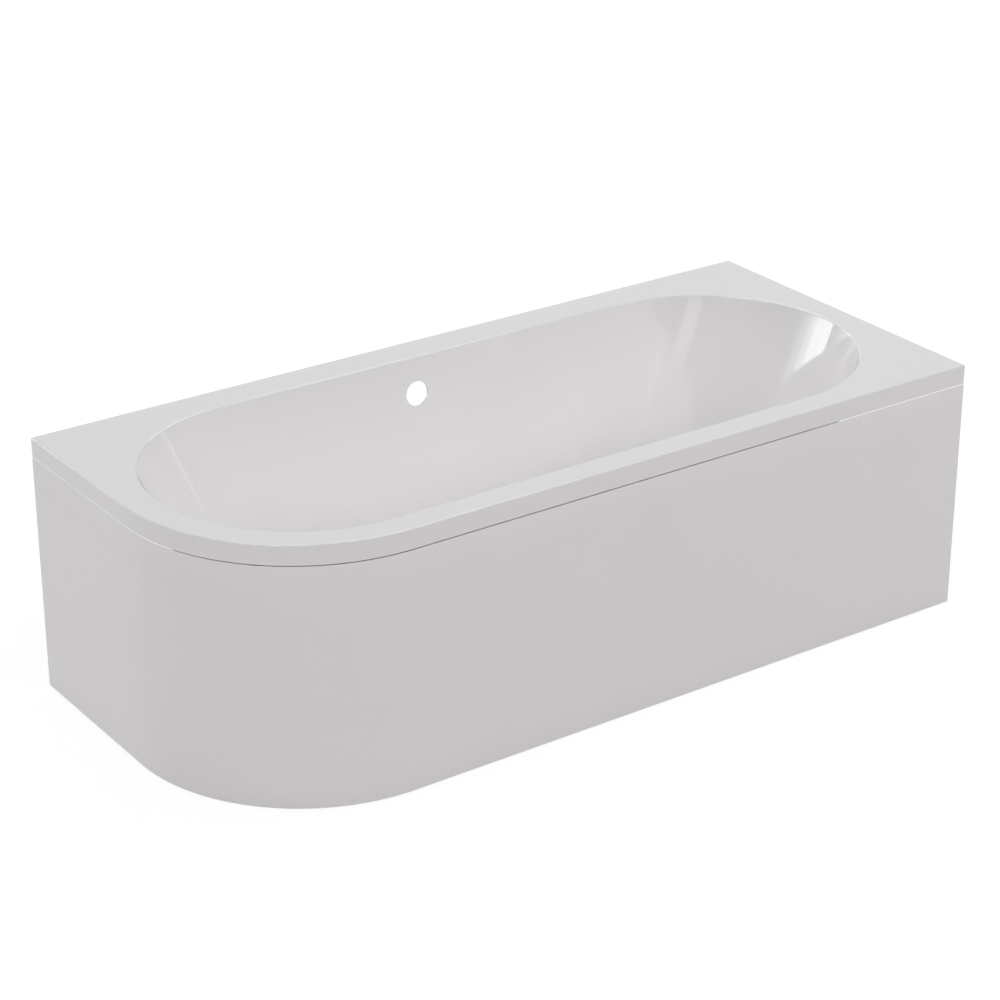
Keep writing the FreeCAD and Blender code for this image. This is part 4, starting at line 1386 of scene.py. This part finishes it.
@dataclass
class PanelPath:
    """Line of the side panel in plan: the left end, the large corner and the front."""

    outline: Outline
    setback: float = 0.0005
    left: int = 20
    arc: int = 72
    front: int = 60

    def __post_init__(self) -> None:
        """Work out the points on the outline and the way inward at each."""
        plan = self.outline
        cx, cy = plan.corner_centre
        y = np.linspace(plan.half_width - self.setback, cy, self.left)[:-1]
        turn = np.linspace(math.pi, 1.5 * math.pi, self.arc)
        x = np.linspace(cx, plan.half_length - self.setback, self.front)[1:]
        around = np.stack([np.cos(turn), np.sin(turn)], axis=-1)
        west = np.stack([np.full(len(y), -plan.half_length), y], axis=-1)
        south = np.stack([x, np.full(len(x), -plan.half_width)], axis=-1)
        self.base = np.concatenate([west, np.array([cx, cy]) + plan.large_radius * around, south])
        east, north = np.tile([1.0, 0.0], (len(y), 1)), np.tile([0.0, 1.0], (len(x), 1))
        self.inward = np.concatenate([east, -around, north])

    def carry(self, profile: np.ndarray) -> Surface:
        """Carry a closed profile along the line and close its two ends.

        Args:
            profile: inset and height of each point of the profile, in metres.

        Returns:
            Points, profile by line, and faces.
        """
        points = np.empty((len(profile), len(self.base), 3))
        points[..., :2] = self.base + profile[:, None, :1] * self.inward
        points[..., 2] = profile[:, 1:]
        index = numbered(len(profile), len(self.base))
        faces = grid_quads(index, True, False).reshape(-1, 4).tolist()
        return points, faces + [index[:, 0].tolist(), index[:, -1].tolist()]


def rounded_profile(corners: Sequence[Triple], steps: int = 4) -> np.ndarray:
    """Closed profile whose corners are rounded.

    Each corner leaves its two sides at its own distance and bends between them on a quadratic curve.

    Args:
        corners: x, y and distance of each corner, in order.
        steps: points on each bend.

    Returns:
        Points of the profile.
    """
    corner = np.asarray(corners, float)
    place, cut = corner[:, :2], corner[:, 2:]
    before, after = np.roll(place, 1, axis=0) - place, np.roll(place, -1, axis=0) - place
    start = place + before / np.linalg.norm(before, axis=1, keepdims=True) * cut
    end = place + after / np.linalg.norm(after, axis=1, keepdims=True) * cut
    share = np.linspace(0, 1, steps)[None, :, None]
    ends = (1 - share) ** 2 * start[:, None], share ** 2 * end[:, None]
    bend = ends[0] + 2 * share * (1 - share) * place[:, None] + ends[1]
    return bend.reshape(-1, 2)


def fill_profile(profile: np.ndarray, longest: float) -> np.ndarray:
    """Profile with its long sides divided evenly.

    Args:
        profile: points of a closed profile.
        longest: length that no side is to pass.

    Returns:
        Points of the divided profile.
    """
    following = np.roll(profile, -1, axis=0)
    counts = np.maximum(np.ceil(np.linalg.norm(following - profile, axis=1) / longest).astype(int), 1)
    first = np.repeat(profile, counts, axis=0)
    last = np.repeat(following, counts, axis=0)
    starts = np.repeat(np.cumsum(counts) - counts, counts)
    share = (np.arange(counts.sum()) - starts) / np.repeat(counts, counts)
    return first + share[:, None] * (last - first)


@dataclass
class SidePanel:
    """One-piece panel with its glass-fibre layer and the rail that the clips hold."""

    outline: Outline
    skin: Pair = (0.0005, 0.0035)
    heights: Pair = (0.002, 0.4925)
    land: float = 0.0005
    return_inset: float = 0.0185
    return_wall: float = 0.003
    layer: Pair = (0.0038, 0.0053)
    layer_heights: Pair = (0.0053, 0.4805)
    layer_lump: float = 0.0002
    rail: Pair = (0.0056, 0.0176)
    rail_heights: Pair = (0.4415, 0.4665)
    foot_bend: float = 0.001
    top_bend: float = 0.0002
    land_bend: float = 0.0001
    slope_bend: float = 0.0003
    return_bend: float = 0.0006
    layer_bends: Pair = (0.0002, 0.0006)
    rail_bend: float = 0.0012
    skin_step: float = 0.06
    layer_step: float = 0.008
    rail_step: float = 0.01
    lump_pitch: float = 0.045

    def build(self, finishes: Finishes) -> None:
        """Build the three pieces of the panel and dress them.

        Args:
            finishes: the materials.
        """
        path = PanelPath(self.outline)
        self.build_skin(path, finishes)
        self.build_layer(path, finishes)
        self.build_rail(path, finishes)

    def build_skin(self, path: PanelPath, finishes: Finishes) -> None:
        """Build the acrylic sheet with its sloped top and the return along its foot.

        Args:
            path: the panel's line.
            finishes: the materials.
        """
        (outer, inner), (low, high) = self.skin, self.heights
        slope, shelf, bend = inner - outer - self.land, low + self.return_wall, self.return_bend
        sheet = rounded_profile([
            (outer, low, self.foot_bend), (outer, high, self.top_bend),
            (outer + self.land, high, self.land_bend), (inner, high - slope, self.slope_bend),
            (inner, shelf, bend), (self.return_inset, shelf, bend), (self.return_inset, low, bend)])
        panel = make_piece("side_panel_forming", *path.carry(fill_profile(sheet, self.skin_step)))
        settle(panel, finishes.acrylic, "panel", "acrylic", "side_panel")

    def build_rail(self, path: PanelPath, finishes: Finishes) -> None:
        """Build the timber rail behind the layer.

        Args:
            path: the panel's line.
            finishes: the materials.
        """
        (start, end), (low, high), bend = self.rail, self.rail_heights, self.rail_bend
        strip = rounded_profile([(start, low, bend), (start, high, bend), (end, high, bend), (end, low, bend)])
        rail = make_piece("panel_rail_strip", *path.carry(fill_profile(strip, self.rail_step)))
        settle(rail, finishes.timber[Grain.ALONG_X], "panel", "softwood", "panel_rail")

    def build_layer(self, path: PanelPath, finishes: Finishes) -> None:
        """Build the glass-fibre layer, whose inner face is moved inward by an uneven height.

        Args:
            path: the panel's line.
            finishes: the materials.
        """
        (start, end), (low, high), (near, far) = self.layer, self.layer_heights, self.layer_bends
        thin = rounded_profile([(start, low, near), (start, high, near), (end, high, far), (end, low, far)])
        profile = fill_profile(thin, self.layer_step)
        points, faces = path.carry(profile)
        inside = (profile[:, :1] > (start + end) / 2) * self.layer_lump
        points[..., :2] += (inside * ripple(points, self.lump_pitch))[..., None] * path.inward
        piece = make_piece("panel_laminate", points, faces)
        settle(piece, finishes.laminate, "panel", "glass_fibre", "panel_backing")


@dataclass(frozen=True)
class Hexagon:
    """Hexagon with its corners along the X axis, given by its width across flats."""

    flats: float
    chamfer: float = 0.94
    depths: tuple[float, ...] = (0.0, 0.0003, 0.0008, 0.0016)

    def radii(self, angle: np.ndarray, depth: np.ndarray) -> np.ndarray:
        """Radius at each angle, taken down near a face by a flat cone.

        Args:
            angle: bearing of each column.
            depth: distance of each row from the nearest chamfered face.

        Returns:
            Radii, rows by columns.
        """
        sixth = math.pi / 3
        side = self.flats / 2 / np.cos(np.mod(angle, sixth) - sixth / 2)
        cone = self.flats / 2 * self.chamfer + depth * math.sqrt(3)
        return np.minimum(side[None, :], cone[:, None])

    def block(self, angle: np.ndarray, low: float, high: float) -> tuple[np.ndarray, np.ndarray]:
        """Block whose two faces are chamfered.

        Args:
            angle: bearing of each column.
            low: height of the lower face.
            high: height of the upper face.

        Returns:
            Height of each row, and radii, rows by columns.
        """
        depth = np.array(self.depths)
        heights = np.concatenate([low + depth, high - depth[::-1]])
        return heights, self.radii(angle, np.minimum(heights - low, high - heights))


@dataclass
class Feet:
    """Four feet: a plastic pad, a threaded rod with a spanner collar, and two nuts on each."""

    places: tuple[Pair, ...] = ((-0.42, -0.235), (-0.42, 0.215), (0.42, -0.235), (0.42, 0.215))
    columns: int = 48
    rod_radius: float = 0.006
    root_radius: float = 0.00508
    pitch: float = 0.00175
    pitch_rows: int = 8
    thread_slope: float = 1.35
    thread_flat: float = 0.15
    rod_low: float = 0.0051
    rod_high: float = 0.09555
    rod_chamfer: float = 0.001
    shank_ease: float = 0.0001
    collar: Pair = (0.017, 0.025)
    flats: float = 0.019
    bore: float = 0.00625
    countersink: float = 0.0006
    captive: Pair = (0.07555, 0.08555)
    lock: Pair = (0.06955, 0.07555)
    pad_section: tuple[Pair, ...] = (
        (0.004, 0.0), (0.0285, 0.0), (0.0294, 0.0003), (0.03, 0.0012), (0.03, 0.0030), (0.0297, 0.0037),
        (0.0290, 0.0042), (0.0220, 0.0057), (0.0165, 0.0069), (0.0153, 0.0075), (0.0148, 0.0086),
        (0.0142, 0.0120), (0.0137, 0.0146), (0.0134, 0.0156), (0.0127, 0.0160), (0.0068, 0.0160),
        (0.0061, 0.0153), (0.0061, 0.0052), (0.0055, 0.0050), (0.002, 0.0050))

    def __post_init__(self) -> None:
        """Work out the bearing of each column."""
        self.angle = bearings(self.columns)

    def rod(self) -> Surface:
        """Rod as one surface of height and bearing.

        Over the thread the radius follows a flattened triangle wave whose phase grows with height and
        bearing. The collar is a chamfered hexagon. Both ends are chamfered.

        Returns:
            Points and faces.
        """
        low, high = self.collar
        slim = self.rod_radius - self.shank_ease
        shank = np.array([self.rod_low, self.rod_low + self.rod_chamfer, low])
        plain = np.array([self.rod_radius - self.rod_chamfer, slim, slim])
        hexed, collar = Hexagon(self.flats).block(self.angle, low, high)
        thread = np.arange(high, self.rod_high, self.pitch / self.pitch_rows)
        phase = np.mod(thread[:, None] / self.pitch - self.angle[None, :] / (2 * np.pi), 1.0)
        wave = np.clip(np.abs(phase * 2 - 1) * self.thread_slope - self.thread_flat, 0, 1)
        limit = self.root_radius + np.clip(self.rod_high - thread, 0, self.rod_chamfer)
        screw = np.minimum(self.root_radius + (self.rod_radius - self.root_radius) * wave, limit[:, None])
        radii = np.concatenate([all_round(plain, self.columns), collar, screw])
        return turned(radii, np.concatenate([shank, hexed, thread]), False)

    def pad(self) -> Surface:
        """Pad turned from a rounded section, with a blind socket for the rod."""
        radius, height = np.array(self.pad_section).T
        return turned(all_round(radius, self.columns), height, False)

    def nut(self, span: Pair) -> Surface:
        """Nut with both faces chamfered and its bore countersunk.

        Args:
            span: heights of its lower and upper face.

        Returns:
            Points and faces.
        """
        low, high = span
        heights, outside = Hexagon(self.flats).block(self.angle, low, high)
        sink = self.countersink
        bore = np.array([self.bore + sink, self.bore, self.bore, self.bore + sink])
        levels = np.array([high, high - sink, low + sink, low])
        radii = np.concatenate([outside, all_round(bore, self.columns)])
        return turned(radii, np.concatenate([heights, levels]), True)

    def build(self, finishes: Finishes) -> None:
        """Build pads, rods and nuts and dress them.

        Args:
            finishes: the materials.
        """
        for number, (x, y) in enumerate(self.places, start=1):
            points, faces = self.pad()
            pad = make_piece(f"foot_pad_moulding_{number}", points + np.array([x, y, 0]), faces)
            settle(pad, finishes.plastic, f"pad_{number}", "foot_plastic", f"foot_pad_{number}")
            points, faces = self.rod()
            rod = make_piece(f"threaded_rod_{number}", points + np.array([x, y, 0]), faces)
            settle(rod, finishes.plated, f"rod_{number}", "zinc_steel", f"foot_rod_{number}")
        spots = [(x, y, 0.0) for x, y in self.places]
        for name, span, node in (("welded_nuts", self.captive, "captive_nuts"),
                                 ("locking_nuts", self.lock, "lock_nuts")):
            nuts = make_piece(name, *repeat(*self.nut(span), spots))
            settle(nuts, finishes.plated, "tub", "zinc_steel", node)


@dataclass
class Fasteners:
    """Pan-head screws driven upward, and the bolts of the foot brackets."""

    columns: int = 48
    shank_radius: float = 0.002
    point_radius: float = 0.0004
    point_length: float = 0.003
    head_radius: float = 0.004
    head_height: float = 0.0025
    head_levels: Pair = (-0.0008, -0.0002)
    head_edge: float = 0.0002
    dome_fall: float = 0.45
    dome_rings: tuple[float, ...] = (0.0032, 0.0036, 0.00385, 0.00398)
    bite: float = 0.013
    slot_half: float = 0.00055
    slot_reach: float = 0.0023
    slot_depth: float = 0.0014
    slot_wall: float = 0.00025
    slot_end: float = 0.0004
    slot_rise: float = 0.35
    slot_rings: int = 9
    slot_start: float = 0.0005
    slot_margin: float = 0.0003
    middle_ring: float = 0.0002
    cradle_x: Pair = (-0.42, 0.42)
    cradle_y: tuple[float, ...] = (-0.14067, -0.065, 0.045, 0.12067)
    cradle_seat: float = 0.08555
    cradle_grip: float = 0.002
    clip_places: tuple[Pair, ...] = (
        (-0.347, -0.3474), (0.052, -0.3474), (0.451, -0.3474), (-0.722114, -0.247114))
    clip_seat: float = 0.5095
    clip_grip: float = 0.0015
    bracket_places: tuple[Pair, ...] = (
        (-0.51, 0.3545), (-0.49, 0.3545), (0.49, 0.3545), (0.51, 0.3545), (0.8295, -0.02), (0.8295, 0.0))
    bracket_seat: float = 0.509
    bracket_grip: float = 0.002
    bolt_y: float = -0.283
    bolt_flats: float = 0.010
    bolt_radius: float = 0.003
    bolt_depths: tuple[float, ...] = (0.0, 0.0002, 0.0006)
    bolt_tail: float = 0.07855
    bolt_tail_radius: float = 0.0024
    bolt_tail_chamfer: float = 0.0006
    bolt_nut: Pair = (0.08055, 0.08555)
    bolt_head: Pair = (0.08955, 0.09355)

    def __post_init__(self) -> None:
        """Work out the bearing of each column."""
        self.angle = bearings(self.columns)

    def screw(self, grip: float) -> Surface:
        """Screw with its head's face at the bottom and its seat at height 0.

        The head's face is a low dome of radius and bearing, from which a cross is sunk whose floor rises
        to the ends of its arms. Above it come the head's underside, the shank and a point.

        Args:
            grip: thickness of the sheet that it holds.

        Returns:
            Points and faces.
        """
        cross = np.linspace(self.slot_start, self.slot_reach + self.slot_margin, self.slot_rings)
        radius = np.concatenate([[self.middle_ring], cross, self.dome_rings])
        share = radius / self.head_radius
        dome = -self.head_height * (1 - self.dome_fall * share ** 4)
        x = np.abs(radius[:, None] * np.cos(self.angle))
        y = np.abs(radius[:, None] * np.sin(self.angle))
        narrow, wide = np.minimum(x, y), np.maximum(x, y)
        side = np.clip((self.slot_half - narrow) / self.slot_wall + 0.5, 0, 1)
        end = np.clip((self.slot_reach - wide) / self.slot_end, 0, 1)
        sunk = self.slot_depth * side * end * (1 - self.slot_rise * wide / self.slot_reach)
        reach = grip + self.bite
        low, high = self.head_levels
        rest = np.array([
            (self.head_radius, low), (self.head_radius, high), (self.head_radius - self.head_edge, 0.0),
            (self.shank_radius, 0.0), (self.shank_radius, reach - self.point_length),
            (self.point_radius, reach)])
        radii = all_round(np.concatenate([radius, rest[:, 0]]), self.columns)
        heights = np.concatenate([dome[:, None] + sunk, all_round(rest[:, 1], self.columns)])
        return turned(radii, heights, False)

    def bolt(self) -> Surface:
        """Bolt and nut as one surface of height and bearing, from the bolt's tail up to its head.

        Returns:
            Points and faces.
        """
        (low, web), (seat, head), tail = self.bolt_nut, self.bolt_head, self.bolt_tail
        hexagon = Hexagon(self.bolt_flats, depths=self.bolt_depths)
        nut, nut_radii = hexagon.block(self.angle, low, web)
        top = np.concatenate([[seat], head - np.array(self.bolt_depths)[::-1]])
        stem = np.array([self.bolt_tail_radius, self.bolt_radius, self.bolt_radius])
        radii = [all_round(stem, self.columns), nut_radii, all_round(stem[1:], self.columns),
                 hexagon.radii(self.angle, head - top)]
        heights = [[tail, tail + self.bolt_tail_chamfer, low], nut, [web, seat], top]
        return turned(np.concatenate(radii), np.concatenate(heights), False)

    def build(self, finishes: Finishes) -> None:
        """Build each kind of fastener and dress it.

        Args:
            finishes: the materials.
        """
        cradle = [(x, y, self.cradle_seat) for x in self.cradle_x for y in self.cradle_y]
        clip = [(x, y, self.clip_seat) for x, y in self.clip_places]
        bracket = [(x, y, self.bracket_seat) for x, y in self.bracket_places]
        for name, grip, places, node in (("channel_screws", self.cradle_grip, cradle, "cradle_screws"),
                                         ("panel_clip_screws", self.clip_grip, clip, "clip_screws"),
                                         ("wall_bracket_screws", self.bracket_grip, bracket, "bracket_screws")):
            screws = make_piece(name, *repeat(*self.screw(grip), places))
            settle(screws, finishes.plated, "tub", "zinc_steel", node)
        spots = [(x, self.bolt_y, 0.0) for x in self.cradle_x]
        bolts = make_piece("bracket_bolts", *repeat(*self.bolt(), spots))
        settle(bolts, finishes.plated, "tub", "zinc_steel", "foot_bracket_bolts")


@dataclass
class Underframe:
    """Board, channels, battens, clips and brackets, whose solids are shown as they are."""

    along_x: tuple[str, ...] = ("rim_batten_front", "rim_batten_back")
    along_y: tuple[str, ...] = ("rim_batten_left", "rim_batten_right")
    galvanised: tuple[str, ...] = (
        "leg_cradle_left", "leg_cradle_right", "wall_bracket_back_1", "wall_bracket_back_2", "wall_bracket_end",
        "panel_foot_bracket_left", "panel_foot_bracket_right")
    sprung: tuple[str, ...] = ("panel_clip_1", "panel_clip_2", "panel_clip_3", "panel_clip_4")

    def dress(self, finishes: Finishes) -> None:
        """Give each solid its finish.

        Args:
            finishes: the materials.
        """
        dress_node("base_board", finishes.chipboard)
        dress_node("rim_block_corner", finishes.timber[Grain.ACROSS_CORNER])
        for nodes, material in ((self.along_x, finishes.timber[Grain.ALONG_X]),
                                (self.along_y, finishes.timber[Grain.ALONG_Y]),
                                (self.galvanised, finishes.galvanised), (self.sprung, finishes.spring)):
            for node in nodes:
                dress_node(node, material)


# ---- studio ----


@dataclass(frozen=True)
class SoftBox:
    """Soft box, which lights the object or shows only as a reflection in its gloss."""

    name: str
    place: Triple
    aim: Triple
    size: Pair
    radiance: float
    lights: bool = False

    def build(self) -> None:
        """Hang the box and turn it to its aim."""
        lamp = bpy.data.lights.new(self.name, "AREA")
        lamp.shape = "RECTANGLE"
        lamp.size, lamp.size_y = self.size
        lamp.energy = self.radiance * math.pi * lamp.size * lamp.size_y
        box = bpy.data.objects.new(self.name, lamp)
        box.location = self.place
        box.rotation_euler = (Vector(self.aim) - Vector(self.place)).to_track_quat("-Z", "Y").to_euler()
        box.visible_camera = False
        box.visible_diffuse = self.lights
        bpy.context.scene.collection.objects.link(box)


@dataclass
class Studio:
    """Plain pale floor, even white surroundings, soft boxes and the camera."""

    sky_stops: tuple[Pair, ...] = (
        (0.0, 0.02), (17.0, 0.02), (30.0, 2.58), (45.0, 0.56), (60.0, 0.16), (90.0, 0.04))
    sky_lean: Pair = (-0.06, -0.14)
    sky_shown: float = 1.0
    sky_mirrored: Pair = (0.08, 0.58)
    sky_behind: Pair = (0.2, 0.7)
    sky_far: Pair = (0.86, 0.97)
    sky_added: float = 1.2
    floor_colour: Colour = (0.61, 0.575, 0.61)
    floor_glow: float = 0.86
    floor_shadow: Colour = (0.20, 0.20, 0.20)
    floor_half: float = 30.0
    floor_rows: int = 9
    sight: float = 100.0
    lens: float = 100.0
    sensor: float = 36.0
    distance: float = 5.4853
    azimuth: float = math.radians(-35.0347)
    elevation: float = math.radians(24.9261)
    target: Triple = (-0.0288, 0.0, 0.3272)
    boxes: tuple[SoftBox, ...] = (
        SoftBox("key_box", (2.08, -0.97, 3.68), (0.0, 0.0, 0.4), (1.2, 1.2), 3.4, lights=True),
        SoftBox("back_box", (-0.3, 4.7, 1.9), (0.6, -0.1, 0.45), (1.5, 1.0), 6.0, lights=True),
        SoftBox("tall_box", (-3.02, 4.53, 1.46), (0.76, -0.02, 0.47), (1.53, 1.65), 4.2),
        SoftBox("pale_box", (-8.22, 7.52, 2.85), (0.76, -0.02, 0.47), (1.46, 1.88), 2.8),
        SoftBox("faint_box", (-8.98, 6.3, 3.12), (0.76, -0.02, 0.47), (1.68, 2.02), 1.2),
        SoftBox("rim_box", (1.24, 1.8, 2.66), (-0.2, 0.3, 0.53), (1.0, 1.0), 4.5),
        SoftBox("side_box", (-1.27, -0.47, 2.05), (0.89, 0.28, 0.63), (1.3, 0.55), 9.0),
        SoftBox("narrow_box", (0.08, -0.75, 0.67), (0.55, 0.1, 0.45), (0.2, 0.28), 0.9),
    )

    @staticmethod
    def seen(sheet: Sheet) -> bpy.types.NodeSocket:
        """One for rays that show the surroundings, and nought for rays that light the object.

        Args:
            sheet: the nodes that it is added to.

        Returns:
            The output.
        """
        path = sheet.add("LightPath")
        shown = sheet.math("MAXIMUM", path.outputs["Is Camera Ray"], path.outputs["Is Glossy Ray"])
        return sheet.math("MAXIMUM", shown, path.outputs["Is Transmission Ray"])

    def build_floor(self) -> None:
        """Flat floor that shows white, keeps a soft shadow and throws some light back."""
        edge = np.linspace(-self.floor_half, self.floor_half, self.floor_rows)
        x, y = np.meshgrid(edge, edge, indexing="ij")
        points = np.stack([x, y, 0 * x], axis=-1)
        faces = grid_quads(numbered(*x.shape), False, False).reshape(-1, 4).tolist()
        floor = make_piece("studio_floor", points, faces)
        material = bpy.data.materials.new("pale_floor")
        material.use_nodes = True
        material.cycles.emission_sampling = "NONE"
        sheet = Sheet(material.node_tree)
        matt = sheet.add("BsdfDiffuse", Color=(*self.floor_colour, 1.0)).outputs[0]
        shadow = sheet.add("BsdfDiffuse", Color=(*self.floor_shadow, 1.0)).outputs[0]
        glow = sheet.add("Emission", Strength=self.floor_glow).outputs[0]
        white = sheet.add("AddShader")
        sheet.fill(white.inputs[0], shadow)
        sheet.fill(white.inputs[1], glow)
        both = sheet.add("MixShader", Fac=self.seen(sheet))
        sheet.fill(both.inputs[1], matt)
        sheet.fill(both.inputs[2], white.outputs[0])
        sheet.add("OutputMaterial", Surface=both.outputs[0])
        floor.data.materials.append(material)

    def build_sky(self) -> None:
        """Soft light from all round, by height, shown as white and mirrored darker, most of all in front.

        The light at a height goes evenly between the stops, and leans a little to one side. What gloss
        mirrors grows from front to back, with a brighter band far behind.
        """
        world = bpy.data.worlds.new("studio_light")
        world.use_nodes = True
        bpy.context.scene.world = world
        sheet = Sheet(world.node_tree)
        direction = sheet.add("TexCoord").outputs["Generated"]
        parts = sheet.add("SeparateXYZ", Vector=direction)
        ramp = sheet.add("ValToRGB", Fac=parts.outputs[2])
        brightest = max(strength for _, strength in self.sky_stops)
        stops = ramp.color_ramp.elements
        while len(stops) < len(self.sky_stops):
            stops.new(1.0)
        for stop, (height, strength) in zip(stops, self.sky_stops):
            stop.position = math.sin(math.radians(height))
            stop.color = (*[strength / brightest] * 3, 1.0)
        level = sheet.add("RGBToBW", Color=ramp.outputs[0]).outputs[0]
        lean = sheet.add("VectorMath", {"operation": "DOT_PRODUCT"})
        sheet.fill(lean.inputs[0], direction)
        sheet.fill(lean.inputs[1], (*self.sky_lean, 0.0))
        leaning = sheet.math("MULTIPLY", level, sheet.math("ADD", lean.outputs["Value"], 1.0))
        lit = sheet.math("MULTIPLY", leaning, brightest)
        path = sheet.add("LightPath")
        mirrored = sheet.math("MAXIMUM", path.outputs["Is Glossy Ray"], path.outputs["Is Transmission Ray"])
        behind = sheet.spread(parts.outputs[1], self.sky_behind, self.sky_mirrored)
        far = sheet.spread(parts.outputs[1], self.sky_far, (0.0, self.sky_added))
        thrown = sheet.add("Mix", Factor=mirrored, A=lit, B=sheet.math("ADD", behind, far)).outputs[0]
        strength = sheet.add("Mix", Factor=path.outputs["Is Camera Ray"], A=thrown, B=self.sky_shown)
        light = sheet.add("Background", Color=(1.0, 1.0, 1.0, 1.0), Strength=strength.outputs[0])
        sheet.add("OutputWorld", Surface=light.outputs[0])

    def build_camera(self) -> None:
        """Camera at the photograph's angle."""
        data = bpy.data.cameras.new("view")
        data.lens, data.sensor_width, data.clip_end = self.lens, self.sensor, self.sight
        camera = bpy.data.objects.new("view", data)
        level = math.cos(self.elevation)
        x, y = math.sin(self.azimuth) * level, -math.cos(self.azimuth) * level
        back = Vector((x, y, math.sin(self.elevation)))
        camera.location = Vector(self.target) + self.distance * back
        camera.rotation_euler = (-back).to_track_quat("-Z", "Y").to_euler()
        bpy.context.scene.collection.objects.link(camera)
        bpy.context.scene.camera = camera

    def build(self) -> None:
        """Build the floor, the lights and the camera."""
        bpy.context.scene.view_settings.view_transform = "Standard"
        self.build_floor()
        self.build_sky()
        for box in self.boxes:
            box.build()
        self.build_camera()


def main() -> None:
    """Build the bath's pieces in order, then the studio."""
    logging.basicConfig(level=logging.INFO, format="%(name)s %(message)s")
    finishes = Finishes()
    form, outline = BasinForm(), Outline()
    columns = Columns(form, outline)
    Shell(form, columns).build(finishes)
    Backing(form, columns).build(finishes)
    SidePanel(outline).build(finishes)
    Feet().build(finishes)
    Fasteners().build(finishes)
    Underframe().dress(finishes)
    Studio().build()


if __name__ == "__main__":
    main()
